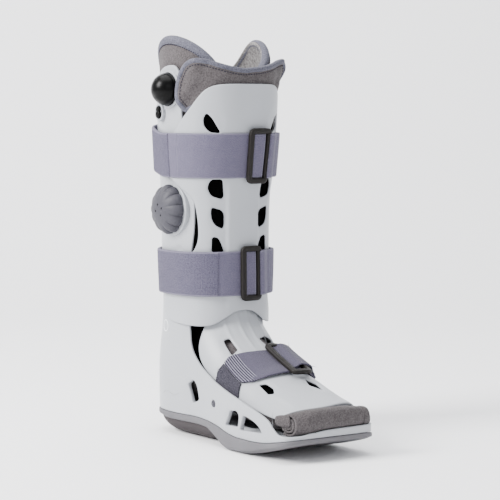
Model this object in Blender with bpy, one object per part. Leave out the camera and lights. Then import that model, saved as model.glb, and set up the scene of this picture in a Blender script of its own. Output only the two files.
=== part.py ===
"""Walking boot: a rear shell with a foot tray on a rocker sole, a shin panel and a foot cover,
a padded bootie inside them, three ring straps, a squeeze bulb, a release valve and a dial.

Metres, +Z up, toe towards -Y. The origin is on the heel's flat underside, under the leg.
Outlines are drawn in each surface's own plane and wrapped onto it; they are mirrored in X.
"""
import math

import bmesh
import bpy
from mathutils import Vector
from mathutils.geometry import delaunay_2d_cdt

# Overall sizes
SHELL_TOP = 0.4245
COLLAR_TOP = 0.456
CALF_HALF_WIDTH = 0.066
CALF_DEPTH = 0.070
FOOT_HALF_WIDTH = 0.0545
HEEL_DEPTH = 0.067
TOE_REACH = 0.2275
ANKLE_HEIGHT = 0.124
INSTEP_REACH = 0.0580
SHIN_FRONT = 0.0640

# Walls and clearances
SHELL_WALL = 0.0030
PANEL_WALL = 0.0028
STRAP_WALL = 0.0018
ELASTIC_WALL = 0.0014
LINER_WALL = 0.0080
LINER_FOOT_WALL = 0.0060
PAD_WALL = 0.0030
FLAP_WALL = 0.0036
RING_WALL = 0.0030
GAP = 0.0003
LAYER_GAP = 0.0007
WELD = 0.00001

# Straps and rings
STRAP_WIDTH = 0.0505
UPPER_STRAP_HEIGHT = 0.3220
LOWER_STRAP_HEIGHT = 0.1885
RIM_RISE = 0.1000
UPPER_RING_ANGLE = 11.0
LOWER_RING_ANGLE = 6.0
UPPER_WING_ANGLE = 92.0
LOWER_WING_ANGLE = 113.0
WING_STEP = 26.0
RING_OUTER_HEIGHT = 0.0620
RING_OUTER_WIDTH = 0.0290
RING_BAR = 0.0058

# Bulb, valve and dial
BULB_RADIUS = 0.0184
BULB_PLACE = (-0.0030, UPPER_STRAP_HEIGHT + 0.0740)
BULB_FOOT = 0.0015
BULB_HEIGHT = 0.0180
TAB_RADIUS = 0.0275
VALVE_PLACE = (0.0140, UPPER_STRAP_HEIGHT + 0.0480)
BUTTON_RADIUS = 0.0058
BUTTON_HEIGHT = 0.0050
BUTTON_TRAVEL = 0.0020
BUTTON_EDGE = 0.0011
VALVE_RIM = 0.0022
SEAT_RISE = 0.0012
VALVE_RISE = 0.0040
BULB_RIM = 0.0016
STRAP_SPACING = UPPER_STRAP_HEIGHT - LOWER_STRAP_HEIGHT
DIAL_PLACE = (0.0020, LOWER_STRAP_HEIGHT + 0.5356 * STRAP_SPACING)
DIAL_SEAT_RADIUS = 0.2292 * STRAP_SPACING
DIAL_SEAT_EDGE = 0.0023
DIAL_RADIUS = DIAL_SEAT_RADIUS - DIAL_SEAT_EDGE
DIAL_HEIGHT = 0.0188
DIAL_RIM = 0.0024
DIAL_EDGE = 0.0010
SCALLOPS = 12
SCALLOP_DEPTH = 0.0012
RIVET_PLACE = (-0.0805, 0.0470)
RIVET_RADIUS = 0.0038
RIVET_EDGE = 0.0006

# Sole
SOLE_OVERHANG = 0.0012
FLOOR_WALL = 0.0030
FLOOR_LIFT = 0.0004
FLOOR_INSET = 0.0012

# How far the outline plane runs along the shell: round the heel, then down the side, then the toe
BACK_RUN = 0.75 * (CALF_HALF_WIDTH + HEEL_DEPTH)
TOE_DEPTH = 0.0300
TOE_SQUARE = 5.0
SIDE_RUN = TOE_REACH - TOE_DEPTH
TOE_RUN = 1.25 * FOOT_HALF_WIDTH

# Leg and foot envelope, bottom to top. Columns: height as a share of SHELL_TOP, half width of
# CALF_HALF_WIDTH, back depth of CALF_DEPTH, front depth of SHIN_FRONT, back and front squareness.
ENVELOPE = (
    (0.000, 0.800, 0.950, 14.0, 2.8, 3.0),
    (0.061, 0.822, 0.962, 14.0, 2.8, 3.0),
    (0.118, 0.830, 0.972, 9.40, 2.8, 3.0),
    (0.177, 0.832, 0.970, 4.20, 2.8, 3.0),
    (0.236, 0.826, 0.945, 1.60, 2.7, 2.8),
    (0.288, 0.820, 0.915, 0.875, 2.5, 2.5),
    (0.354, 0.822, 0.895, 0.880, 2.4, 2.5),
    (0.498, 0.856, 0.925, 0.870, 2.3, 2.5),
    (0.617, 0.872, 0.950, 0.880, 2.2, 2.5),
    (0.707, 0.900, 0.985, 0.930, 2.15, 2.45),
    (0.841, 0.955, 1.000, 1.030, 2.1, 2.4),
    (0.942, 0.970, 1.020, 1.070, 2.1, 2.4),
    (1.080, 0.980, 1.040, 1.090, 2.1, 2.4),
)

# The foot widens at the ball. Columns: run from the leg axis to the toe as a share of TOE_REACH,
# and half width as a share of FOOT_HALF_WIDTH.
FOOT_WIDTH = (
    (0.00, 1.000), (0.20, 0.990), (0.36, 1.025), (0.52, 1.085), (0.64, 1.115),
    (0.76, 1.125), (0.88, 1.120), (1.00, 1.100),
)

# Height of the line between shell and sole, and of the sole's underside.
# Columns: run to the toe (minus is behind the leg) as a share of TOE_REACH, height.
SOLE_LINE = (
    (-0.32, 0.0260), (0.00, 0.0262), (0.17, 0.0272), (0.28, 0.0262), (0.38, 0.0236),
    (0.49, 0.0186), (0.58, 0.0166), (0.68, 0.0166), (0.80, 0.0180), (0.90, 0.0216), (1.00, 0.0258),
)
UNDERSIDE = (
    (-0.32, 0.0070), (-0.26, 0.0024), (-0.20, 0.0000), (0.20, 0.0000), (0.28, 0.0024), (0.36, 0.0024),
    (0.44, 0.0004), (0.48, 0.0000), (0.60, 0.0000), (0.72, 0.0036), (0.82, 0.0086), (0.92, 0.0146),
    (1.00, 0.0205),
)


def blend_rows(rows, key):
    """Values of a table at key, on a smooth curve through its rows that never overshoots."""
    if key <= rows[0][0]:
        return rows[0][1:]
    if key >= rows[-1][0]:
        return rows[-1][1:]
    index = next(i for i in range(len(rows) - 1) if rows[i][0] <= key <= rows[i + 1][0])
    lower, upper = rows[index], rows[index + 1]
    span = upper[0] - lower[0]
    t = (key - lower[0]) / span
    values = []
    for column in range(1, len(lower)):
        step = (upper[column] - lower[column]) / span
        slopes = []
        for place in (index, index + 1):
            if place in (0, len(rows) - 1):
                slopes.append(step)
                continue
            before = (rows[place][column] - rows[place - 1][column]) / (rows[place][0] - rows[place - 1][0])
            after = (rows[place + 1][column] - rows[place][column]) / (rows[place + 1][0] - rows[place][0])
            slopes.append(0.0 if before * after <= 0 else 2 * before * after / (before + after))
        values.append(
            (2 * t ** 3 - 3 * t ** 2 + 1) * lower[column] + (t ** 3 - 2 * t ** 2 + t) * span * slopes[0]
            + (3 * t ** 2 - 2 * t ** 3) * upper[column] + (t ** 3 - t ** 2) * span * slopes[1])
    return tuple(values)


def level_height(level):
    """Height of a level: 0 is the floor, 1 and 2 are the straps' middles, and 3 is the rim's rise above."""
    if level <= 1:
        return level * LOWER_STRAP_HEIGHT
    if level <= 2:
        return LOWER_STRAP_HEIGHT + (level - 1) * STRAP_SPACING
    return UPPER_STRAP_HEIGHT + (level - 2) * RIM_RISE


def envelope(height):
    """Half width, back depth, front depth and squarenesses of the boot at a height."""
    width, back, front, back_square, front_square = blend_rows(ENVELOPE, height / SHELL_TOP)
    return width * CALF_HALF_WIDTH, back * CALF_DEPTH, front * SHIN_FRONT, back_square, front_square


def foot_factor(run):
    """Widening of the foot at a run towards the toe."""
    return blend_rows(FOOT_WIDTH, run / TOE_REACH)[0]


def sole_line(y):
    return blend_rows(SOLE_LINE, -y / TOE_REACH)[0]


def underside(y):
    return blend_rows(UNDERSIDE, -y / TOE_REACH)[0]


def oval(angle, half_width, depth, square):
    """A point of a squared oval at an angle from its depth axis."""
    wide, deep = abs(math.sin(angle) / half_width), abs(math.cos(angle) / depth)
    reach = (wide ** square + deep ** square) ** (-1 / square)
    return reach * math.sin(angle), reach * math.cos(angle)


def shell_surface(along, height):
    """The shell's outside. Along runs round the heel from 0, down the near side (-X) and across the toe."""
    half_width, back, front, back_square, front_square = envelope(height)
    side = 1.0 if along < 0 else -1.0
    run = abs(along)
    if run <= BACK_RUN:
        x, y = oval(run / BACK_RUN * math.pi / 2, half_width, back, back_square)
        return Vector((side * x, y, height))
    run -= BACK_RUN
    if run <= SIDE_RUN:
        pinch = max(1 - (run / front) ** front_square, 0.02) ** (1 / front_square)
        return Vector((side * half_width * foot_factor(run) * pinch, -run, height))
    turn = (run - SIDE_RUN) / TOE_RUN * math.pi / 2
    wide = half_width * foot_factor(SIDE_RUN)
    y, x = oval(turn, TOE_DEPTH, wide, TOE_SQUARE)
    return Vector((side * x, -SIDE_RUN - y, height))


def leg_surface(angle_run, height):
    """The envelope round the leg. Angle run is 0 at the shin and grows towards both sides."""
    half_width, back, front, back_square, front_square = envelope(max(height, ANKLE_HEIGHT))
    angle = angle_run / CALF_HALF_WIDTH
    if abs(angle) <= math.pi / 2:
        x, y = oval(angle, half_width, front, front_square)
    else:
        x, y = oval(angle, half_width, back, back_square)
    return Vector((x, -y, height))


def side_run(y):
    """Place on the shell's outline plane of a point on its side wall."""
    return BACK_RUN - y


def surface_normal(surface, u, v):
    """Outward normal of a surface at u, v."""
    step = 0.0004
    across = surface(u + step, v) - surface(u - step, v)
    up = surface(u, v + step) - surface(u, v - step)
    return across.cross(up).normalized()


def rounded(points, radius, segments=3):
    """A closed outline with its corners rounded."""
    result = []
    count = len(points)
    for index, corner in enumerate(points):
        corner = Vector(corner)
        before = Vector(points[index - 1]) - corner
        after = Vector(points[(index + 1) % count]) - corner
        reach = min(radius, before.length * 0.45, after.length * 0.45)
        start = corner + before.normalized() * reach
        end = corner + after.normalized() * reach
        for step in range(segments + 1):
            t = step / segments
            result.append(start * (1 - t) ** 2 + corner * 2 * t * (1 - t) + end * t * t)
    return result


def thin_out(points, spacing):
    """A closed outline with a point about every spacing along its straight stretches."""
    result = []
    for index, start in enumerate(points):
        end = points[(index + 1) % len(points)]
        pieces = max(1, math.ceil((Vector(end) - Vector(start)).length / spacing))
        for step in range(pieces):
            result.append(Vector(start).lerp(Vector(end), step / pieces))
    return result


def mirrored(half):
    """A closed outline from the half with u above 0, listed from the top centre to the bottom centre."""
    right = [Vector(point) for point in half]
    left = [Vector((-point.x, point.y)) for point in reversed(right)]
    return right + left


def inside(point, loop):
    """Whether a point lies in a closed outline."""
    x, y = point
    result = False
    for index, start in enumerate(loop):
        end = loop[index - 1]
        if (start[1] > y) != (end[1] > y):
            if x < (end[0] - start[0]) * (y - start[1]) / (end[1] - start[1]) + start[0]:
                result = not result
    return result


def triangulate(outline, holes, grid):
    """Triangles of an outline with holes, with extra points on a grid of the given steps."""
    loops = [outline] + holes
    points = []
    edges = []
    for loop in loops:
        first = len(points)
        points += [Vector((p[0] / grid[0], p[1] / grid[1])) for p in loop]
        edges += [(first + i, first + (i + 1) % len(loop)) for i in range(len(loop))]
    border = list(points)
    scaled = [[(p[0] / grid[0], p[1] / grid[1]) for p in loop] for loop in loops]
    low = [min(p[axis] for p in scaled[0]) for axis in (0, 1)]
    high = [max(p[axis] for p in scaled[0]) for axis in (0, 1)]
    for row in range(int(high[1] - low[1]) + 2):
        for column in range(int(high[0] - low[0]) + 2):
            spot = Vector((low[0] + 0.5 + column, low[1] + 0.5 + row))
            if not inside(spot, scaled[0]) or any(inside(spot, loop) for loop in scaled[1:]):
                continue
            if min((spot - p).length for p in border) > 0.45:
                points.append(spot)
    result = delaunay_2d_cdt(points, edges, [], 0, 1e-6)
    places, faces = result[0], result[2]
    kept = []
    for face in faces:
        middle = sum((places[i] for i in face), Vector((0, 0))) / 3
        if inside(middle, scaled[0]) and not any(inside(middle, loop) for loop in scaled[1:]):
            kept.append(tuple(face))
    return [(p.x * grid[0], p.y * grid[1]) for p in places], kept


def finish_mesh(name, points, faces, color, roughness=0.5, metallic=0.0):
    """A named object with its own material, from points and faces of a closed body."""
    mesh = bmesh.new()
    corners = [mesh.verts.new(p) for p in points]
    for face in faces:
        mesh.faces.new([corners[i] for i in face])
    loose = [v for v in mesh.verts if not v.link_faces]
    bmesh.ops.delete(mesh, geom=loose, context='VERTS')
    bmesh.ops.remove_doubles(mesh, verts=mesh.verts[:], dist=WELD)
    bmesh.ops.triangulate(mesh, faces=mesh.faces[:])
    bmesh.ops.recalc_face_normals(mesh, faces=mesh.faces[:])
    if mesh.calc_volume(signed=True) < 0:
        bmesh.ops.reverse_faces(mesh, faces=mesh.faces[:])
    data = bpy.data.meshes.new(name)
    mesh.to_mesh(data)
    mesh.free()
    piece = bpy.data.objects.new(name, data)
    bpy.context.scene.collection.objects.link(piece)
    material = bpy.data.materials.new(name)
    material.use_nodes = True
    shader = material.node_tree.nodes["Principled BSDF"]
    shader.inputs["Base Color"].default_value = (*color, 1.0)
    shader.inputs["Roughness"].default_value = roughness
    shader.inputs["Metallic"].default_value = metallic
    data.materials.append(material)
    return piece


def plate(name, surface, outline, holes, inner, outer, grid, color, roughness=0.5, seam=math.inf):
    """A closed wall between two offsets of a surface, cut to an outline with holes.

    Where the outline reaches the seam on both sides, its two ends meet and are welded.
    """
    places, triangles = triangulate(outline, holes, grid)
    low = []
    high = []
    for u, v in places:
        base = surface(u, v)
        normal = surface_normal(surface, u, v)
        low.append(base + normal * (inner(u, v) if callable(inner) else inner))
        high.append(base + normal * (outer(u, v) if callable(outer) else outer))
    count = len(places)
    faces = list(triangles)
    faces += [tuple(i + count for i in reversed(face)) for face in triangles]
    sides = {}
    for face in triangles:
        for start, end in zip(face, face[1:] + face[:1]):
            sides[(start, end)] = sides.get((start, end), 0) + 1
    for start, end in sides:
        on_seam = min(abs(places[start][0]), abs(places[end][0])) > seam - 1e-5
        if (end, start) not in sides and not on_seam:
            faces.append((end, start, start + count, end + count))
    return finish_mesh(name, high + low, faces, color, roughness)


def loft(name, rings, color, roughness=0.6, closed_ends=True):
    """A closed body through rings of equal length; the ends are filled, or the last joins the first."""
    size = len(rings[0])
    points = [p for ring in rings for p in ring]
    faces = []
    pairs = len(rings) - 1 if closed_ends else len(rings)
    for ring in range(pairs):
        after = (ring + 1) % len(rings)
        for index in range(size):
            other = (index + 1) % size
            faces.append((ring * size + index, ring * size + other,
                          after * size + other, after * size + index))
    if closed_ends:
        faces.append(tuple(reversed(range(size))))
        faces.append(tuple((len(rings) - 1) * size + index for index in range(size)))
    return finish_mesh(name, points, faces, color, roughness)


def join(piece, other):
    """Add another closed body to a piece by a union, and hide the body that was added."""
    union = piece.modifiers.new(other.name, 'BOOLEAN')
    union.operation = 'UNION'
    union.object = other
    other.hide_render = True
    other.display_type = 'WIRE'


def cut(piece, cutter):
    """Cut a closed body out of a piece, and hide the cutter."""
    difference = piece.modifiers.new(cutter.name, 'BOOLEAN')
    difference.operation = 'DIFFERENCE'
    difference.object = cutter
    cutter.hide_render = True
    cutter.display_type = 'WIRE'


def side_disc(name, place, radius, near, far, color, segments=32):
    """A round body along X between two distances from the middle plane, on the near side."""
    rings = []
    for x in (near, far):
        rings.append([
            Vector((-x, place[0] + radius * math.cos(a), place[1] + radius * math.sin(a)))
            for a in (math.tau * i / segments for i in range(segments))])
    return loft(name, rings, color)


WHITE = (0.62, 0.64, 0.68)
STRAP_GREY = (0.30, 0.29, 0.42)
LINER_GREY = (0.27, 0.25, 0.26)
BLACK = (0.01, 0.01, 0.01)
RUBBER_GREY = (0.30, 0.29, 0.30)

# Front edge of the rear shell, from the tab down the leg. Columns: y of the side wall, level.
TAB_TOP = BULB_PLACE[1] + TAB_RADIUS
SHELL_LEG_EDGE = (
    (-0.0150, 3.0050), (-0.0225, 2.9100), (-0.0235, 2.7400), (-0.0235, 2.4000), (-0.0270, 2.2800),
    (-0.0300, 1.9101), (-0.0342, 1.6854), (-0.0335, 1.3858), (-0.0290, 1.1910), (-0.0255, 0.9019),
)
# The same edge at the foot, down to the toe. Columns: y of the side wall, height.
SHELL_FOOT_EDGE = (
    (-0.0240, 0.1320), (-0.0256, 0.1160), (-0.0325, 0.1015), (-0.0415, 0.0926), (-0.0525, 0.0845),
    (-0.0700, 0.0768), (-0.0826, 0.0715), (-0.1055, 0.0655), (-0.1361, 0.0590), (-0.1693, 0.0512),
    (-0.1836, 0.0470),
)
LIP_TOP = 0.0315
# The wall's drop at the toe corner. Columns: run past the side's end, height.
TOE_CORNER = ((-0.0030, 0.0425), (0.0040, 0.0370), (0.0105, 0.0325), (0.0150, LIP_TOP))
# The rim behind the tab. Columns: share of the run round the back, level.
SHELL_RIM = ((0.0, 2.8000), (0.45, 2.8000), (0.70, 2.8600))
TAB_FOOT = (0.0120, 2.9850)

# Windows of the foot tray. Columns: y of the side wall, height.
ANKLE_WINDOW = (
    (-0.0310, 0.0640), (-0.0375, 0.0685), (-0.0440, 0.0625), (-0.0485, 0.0470), (-0.0415, 0.0440),
)
TOE_WINDOWS = (
    ((-0.1235, 0.0450), (-0.1325, 0.0462), (-0.1375, 0.0420), (-0.1350, 0.0290), (-0.1130, 0.0268)),
    ((-0.1520, 0.0430), (-0.1655, 0.0395), (-0.1760, 0.0350), (-0.1825, 0.0285), (-0.1450, 0.0258)),
)


def shell_outline():
    """Outline of the rear shell on its own plane."""
    half = [Vector((share * BACK_RUN, level_height(level))) for share, level in SHELL_RIM]
    half.append(Vector((side_run(TAB_FOOT[0]), level_height(TAB_FOOT[1]))))
    half.append(Vector((side_run(-0.0050), TAB_TOP)))
    half += [Vector((side_run(y), level_height(level))) for y, level in SHELL_LEG_EDGE]
    half += [Vector((side_run(y), z)) for y, z in SHELL_FOOT_EDGE]
    half += [Vector((BACK_RUN + SIDE_RUN + run, z)) for run, z in TOE_CORNER]
    half.append(Vector((BACK_RUN + SIDE_RUN + TOE_RUN, LIP_TOP)))
    bottom = []
    steps = 26
    for index in range(steps + 1):
        run = (BACK_RUN + SIDE_RUN + TOE_RUN) * (1 - index / steps)
        y = shell_surface(run, 0.02).y
        bottom.append(Vector((run, sole_line(y))))
    right = half + bottom
    left = [Vector((-p.x, p.y)) for p in reversed(right)][1:-1]
    return thin_out(right + left, 0.030)


def shell_holes():
    """Windows of the foot tray, on both sides."""
    holes = []
    for window in (ANKLE_WINDOW,) + TOE_WINDOWS:
        loop = rounded([(side_run(y), z) for y, z in window], 0.0034, 1)
        holes.append(loop)
        holes.append([Vector((-p.x, p.y)) for p in reversed(loop)])
    return holes


def foot_plan(inset, steps=48):
    """Closed plan of the foot, from the toe round the heel and back, moved in by an inset."""
    total = BACK_RUN + SIDE_RUN + TOE_RUN
    loop = []
    for index in range(steps):
        along = -total + 2 * total * (index + 0.5) / steps
        base = shell_surface(along, 0.022)
        normal = surface_normal(shell_surface, along, 0.022)
        normal.z = 0.0
        moved = base - normal.normalized() * inset
        loop.append((moved.x, moved.y))
    return loop


def slab(name, levels, top, bottom, color, roughness=0.6, grid=(0.02, 0.012)):
    """A closed slab on the foot's plan. Levels hold the inset and the share of the height, top first."""
    loops = [foot_plan(inset) for inset, share in levels]
    size = len(loops[0])
    points = []
    for loop, (inset, share) in zip(loops, levels):
        points += [Vector((x, y, bottom(y) + (top(y) - bottom(y)) * share)) for x, y in loop]
    faces = []
    for level in range(len(levels) - 1):
        for index in range(size):
            other = (index + 1) % size
            faces.append((level * size + index, level * size + other,
                          (level + 1) * size + other, (level + 1) * size + index))
    for level, height in ((0, top), (len(levels) - 1, bottom)):
        places, triangles = triangulate([Vector(p) for p in loops[level]], [], grid)
        names = []
        for x, y in places:
            spot = min(range(size), key=lambda i: math.hypot(loops[level][i][0] - x, loops[level][i][1] - y))
            if math.hypot(loops[level][spot][0] - x, loops[level][spot][1] - y) < 1e-5:
                names.append(level * size + spot)
            else:
                names.append(len(points))
                points.append(Vector((x, y, height(y))))
        for face in triangles:
            loop = [names[i] for i in face]
            faces.append(tuple(reversed(loop)) if level == 0 else tuple(loop))
    return finish_mesh(name, points, faces, color, roughness)


def make_outsole():
    levels = ((0.0008, 1.0), (-SOLE_OVERHANG, 0.85), (-SOLE_OVERHANG, 0.60), (0.0050, 0.20), (0.0140, 0.0))
    slab("outsole", levels, lambda y: sole_line(y) - GAP, underside, RUBBER_GREY, 0.7)


def near_run(y, z):
    """Place on the shell's outline plane of a point of the near side at y."""
    if y <= 0:
        return side_run(y)
    low, high = 0.0, BACK_RUN
    for _ in range(30):
        middle = (low + high) / 2
        if shell_surface(middle, z).y > y:
            low = middle
        else:
            high = middle
    return low


def make_boss(name, place, radius, face, segments):
    """A round boss that rises from inside the shell's wall to a flat face square to X."""
    outline = []
    for index in range(segments):
        angle = math.tau * index / segments
        y, z = place[0] - radius * math.cos(angle), place[1] + radius * math.sin(angle)
        outline.append(Vector((near_run(y, z), z)))

    def reach(u, v):
        normal = surface_normal(shell_surface, u, v)
        return (-face - shell_surface(u, v).x) / normal.x

    return plate(name, shell_surface, outline, [], -SHELL_WALL / 2, reach, (0.016, 0.016), WHITE)


def make_rear_shell():
    shell = plate("rear_shell", shell_surface, shell_outline(), shell_holes(), -SHELL_WALL, 0.0,
                  (0.0145, 0.042), WHITE, 0.35, BACK_RUN + SIDE_RUN + TOE_RUN)
    floor = slab("shell_floor", ((FLOOR_INSET, 1.0), (FLOOR_INSET, 0.0)),
                 lambda y: sole_line(y) + FLOOR_LIFT + FLOOR_WALL, lambda y: sole_line(y) + FLOOR_LIFT, WHITE)
    join(shell, floor)
    cut(shell, side_disc("rivet_hole", RIVET_PLACE, RIVET_RADIUS + GAP, 0.040, 0.080, WHITE, 12))
    join(shell, make_boss("dial_seat", DIAL_PLACE, DIAL_SEAT_RADIUS, dial_face(), 28))
    join(shell, make_boss("bulb_seat", BULB_PLACE, BULB_RADIUS + BULB_RIM, bulb_face(), 24))
    join(shell, make_boss("valve_seat", VALVE_PLACE, BUTTON_RADIUS + GAP + VALVE_RIM, valve_face(), 18))
    cut(shell, side_disc("valve_well", VALVE_PLACE, BUTTON_RADIUS + GAP, valve_face() - BUTTON_HEIGHT,
                         valve_face() + BUTTON_HEIGHT, WHITE, 20))


def dial_face():
    """Distance of the dial's seat face from the middle plane."""
    return envelope(DIAL_PLACE[1])[0] + SEAT_RISE


def bulb_face():
    """Distance of the bulb's seat face from the middle plane."""
    return envelope(BULB_PLACE[1])[0] + SEAT_RISE


def valve_face():
    """Distance of the valve rim's face from the middle plane."""
    return envelope(VALVE_PLACE[1])[0] + VALVE_RISE


# Half outline of the front panel from the top centre to the bottom centre.
# Columns: angle from the shin in degrees, level.
PANEL_EDGE = (
    (0, 2.8000), (24, 2.8000), (34, 2.7850), (42, 2.7400), (49, 2.6480), (57, 2.5250), (65, 2.4200),
    (72, 2.3350), (80, 2.2200), (91, 2.0600), (94, 1.9251), (90, 1.8172), (72, 1.7281), (57, 1.6442),
    (53, 1.5955), (50, 1.5056), (48, 1.3708), (49, 1.2854), (53, 1.2165), (60, 1.1685), (80, 1.1311),
    (103, 1.1011), (110, 1.0112), (112, 0.7958), (109, 0.7374), (103, 0.7135), (90, 0.6976), (62, 0.6854),
    (44, 0.6844), (33, 0.6992), (24, 0.7310), (14, 0.7655), (6, 0.7777), (0, 0.7798),
)
PANEL_WINDOWS = (
    ((41, 2.4800), (44, 2.4200), (43.5, 2.3300), (38, 2.2600), (28, 2.2500), (36, 2.4200)),
    ((26, 1.8015), (34, 1.8015), (37, 1.7753), (39, 1.7228), (35, 1.6592), (27, 1.6330), (24.5, 1.6554)),
    ((35.5, 1.5655), (36, 1.5056), (35, 1.4532), (31, 1.4082),
     (26, 1.3820), (24, 1.4082), (24, 1.5056), (27, 1.5393)),
    ((34, 1.3109), (35, 1.2360), (35, 1.1835), (24, 1.1835), (26, 1.2285), (30, 1.2809)),
)


def leg_place(angle, height):
    """A place on the leg's plane from an angle in degrees off the shin and a height."""
    return Vector((math.radians(angle) * CALF_HALF_WIDTH, height))


def panel_place(angle, level):
    return leg_place(angle, level_height(level))


def make_front_panel():
    outline = thin_out(mirrored([panel_place(*row) for row in PANEL_EDGE]), 0.016)
    holes = []
    for window in PANEL_WINDOWS:
        loop = rounded([panel_place(*row) for row in window], 0.0020, 1)
        holes.append(loop)
        holes.append([Vector((-p.x, p.y)) for p in reversed(loop)])
    plate("front_panel", leg_surface, outline, holes, LAYER_GAP, LAYER_GAP + PANEL_WALL,
          (0.0118, 0.034), WHITE, 0.35)


# Foot cover, from under the panel to the toe. Columns: ridge's place along the foot, ridge z,
# tilt of the depth axis in degrees (0 is level, 90 is down), half width as a share of
# CALF_HALF_WIDTH, depth, squareness, rise towards the far side.
COVER = (
    (-0.1120, 0.1650, 0, 0.7045, 0.047, 2.15, 0.00),
    (-0.0861, 0.1500, 6, 0.7091, 0.049, 2.15, 0.00),
    (-0.0002, 0.1350, 18, 0.7273, 0.052, 2.15, 0.00),
    (0.0649, 0.1215, 36, 0.7652, 0.052, 2.3, 0.00),
    (0.1593, 0.1095, 52, 0.7727, 0.050, 2.2, 0.02),
    (0.2890, 0.0980, 62, 0.7803, 0.048, 2.2, 0.04),
    (0.4543, 0.0865, 69, 0.7955, 0.044, 2.2, 0.06),
    (0.6313, 0.0755, 73, 0.8106, 0.038, 2.2, 0.08),
    (0.8082, 0.0650, 78, 0.8182, 0.033, 2.2, 0.09),
    (0.9439, 0.0575, 82, 0.8182, 0.030, 2.2, 0.09),
)


def foot_y(place):
    """The y of a place along the foot: -1 is the leg's axis, 0 the instep and 1 the toe."""
    if place <= 0:
        return -INSTEP_REACH * (1 + place)
    return -INSTEP_REACH - place * (TOE_REACH - INSTEP_REACH)


def ridge_runs():
    """Run along the ridge of each cover section."""
    runs = [0.0]
    for before, after in zip(COVER, COVER[1:]):
        runs.append(runs[-1] + math.hypot(foot_y(after[0]) - foot_y(before[0]), after[1] - before[1]))
    return runs


RIDGE = ridge_runs()
COVER_BY_RUN = tuple((run, foot_y(row[0])) + row[1:] for run, row in zip(RIDGE, COVER))
COVER_SPREAD = 0.052


def cover_surface(across, run):
    """The cover's outside: across is an arc from the ridge, run goes back from the toe end."""
    y, z, tilt, half_width, depth, square, rise = blend_rows(COVER_BY_RUN, RIDGE[-1] - run)
    x, d = oval(across / COVER_SPREAD, half_width * CALF_HALF_WIDTH, depth, square)
    drop = depth - d
    tilt = math.radians(tilt)
    return Vector((x, y + drop * math.cos(tilt), z - drop * math.sin(tilt) + rise * x))


def cover_place(angle, run):
    """A place on the cover's plane from an angle in degrees off its ridge and a run from the toe end."""
    return Vector((math.radians(angle) * COVER_SPREAD, run))


COVER_EDGE_ANGLE = 74
COVER_SWEEP_NEAR = 0.027
COVER_SWEEP_FAR = 0.014
COVER_SWEEP_POWER = 2.2
COVER_FRONT_SHARES = (1.0, 0.85, 0.65, 0.4, 0.2, 0.0)
COVER_WINDOWS = (
    ((-28, 0.1440), (-37, 0.1400), (-35, 0.1595), (-30, 0.1610)),
    ((-38, 0.0770), (-39.5, 0.0620), (-47, 0.0570), (-47, 0.0670), (-44.5, 0.0790)),
    ((13, 0.1480), (13, 0.1560), (26, 0.1590), (40, 0.1580), (41, 0.1460), (26, 0.1460)),
    ((15, 0.0500), (20, 0.0620), (34, 0.0480), (33, 0.0370)),
)


# Side edge of the cover: run from the toe end, angle from the ridge in degrees.
COVER_EDGE = (
    (0.2050, 52), (0.1900, 52), (0.1800, 53), (0.1730, 62), (0.1660, 68), (0.1540, 72), (0.1400, 73),
    (0.1250, 75),
)


def make_foot_cover():
    top = RIDGE[-1]
    near = [Vector((0.0, top)), Vector((math.radians(44) * COVER_SPREAD, top))]
    near += [Vector((math.radians(angle) * COVER_SPREAD, run)) for run, angle in COVER_EDGE if run < top]
    edge = math.radians(COVER_EDGE_ANGLE) * COVER_SPREAD
    loops = []
    for sweep in (COVER_SWEEP_FAR, COVER_SWEEP_NEAR):
        front = [Vector((edge * share, sweep * share ** COVER_SWEEP_POWER)) for share in COVER_FRONT_SHARES]
        loops.append(near + front)
    outline = loops[0] + [Vector((-p.x, p.y)) for p in reversed(loops[1])][1:-1]
    holes = []
    for window in COVER_WINDOWS:
        holes.append(rounded([cover_place(*row) for row in window], 0.003, 2))
    plate("foot_cover", cover_surface, thin_out(outline, 0.020), holes, -PANEL_WALL, 0.0,
          (0.0105, 0.019), WHITE, 0.35)


# Foot of the bootie, from the toe opening to the ankle. Columns: place of the middle along the
# foot, z, tilt of the depth axis in degrees, half width as a share of CALF_HALF_WIDTH,
# half depth, squareness.
LINER_FOOT = (
    (0.7198, 0.0425, 90, 0.6515, 0.0170, 2.3),
    (0.5722, 0.0460, 90, 0.6742, 0.0225, 2.3),
    (0.4247, 0.0500, 87, 0.6818, 0.0262, 2.3),
    (0.2772, 0.0560, 80, 0.6818, 0.0295, 2.3),
    (0.1297, 0.0625, 68, 0.6667, 0.0330, 2.3),
    (-0.0343, 0.0690, 54, 0.6667, 0.0430, 2.3),
    (-0.7933, 0.0755, 36, 0.6742, 0.0680, 2.4),
    (-1.0173, 0.1080, 18, 0.6742, 0.0590, 2.4),
)
LINER_INSET_FRONT = 0.0056
LINER_INSET_BACK = 0.0046
FRONT_GROWTH = 1.6
FRONT_START = 0.2
ANKLE_EASE = 0.0068
ANKLE_EASE_TOP = 0.2100
ANKLE_EASE_RUN = 0.0450
LINER_HEIGHTS = (0.140, 0.170, 0.215, 0.290, 0.357, 0.403)
LINER_SIDES = 24
LOBE_DIP_BACK = 0.4060
LOBE_DIP_FRONT = 0.4130
LOBE_NARROW_NEAR = 1.1
LOBE_NARROW_FAR = 2.4
LOBE_LEAN = 0.0100
LOBE_SHIFT = 0.0040


def foot_ring(row, inward):
    """A ring round the foot of the bootie, moved in by a wall."""
    place, z, tilt, half_width, half_depth, square = row
    tilt = math.radians(tilt)
    ring = []
    for index in range(LINER_SIDES):
        angle = math.tau * index / LINER_SIDES
        x, d = oval(angle, half_width * CALF_HALF_WIDTH - inward, half_depth - inward, square)
        ring.append(Vector((x, foot_y(place) + d * math.cos(tilt), z - d * math.sin(tilt))))
    return ring


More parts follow.
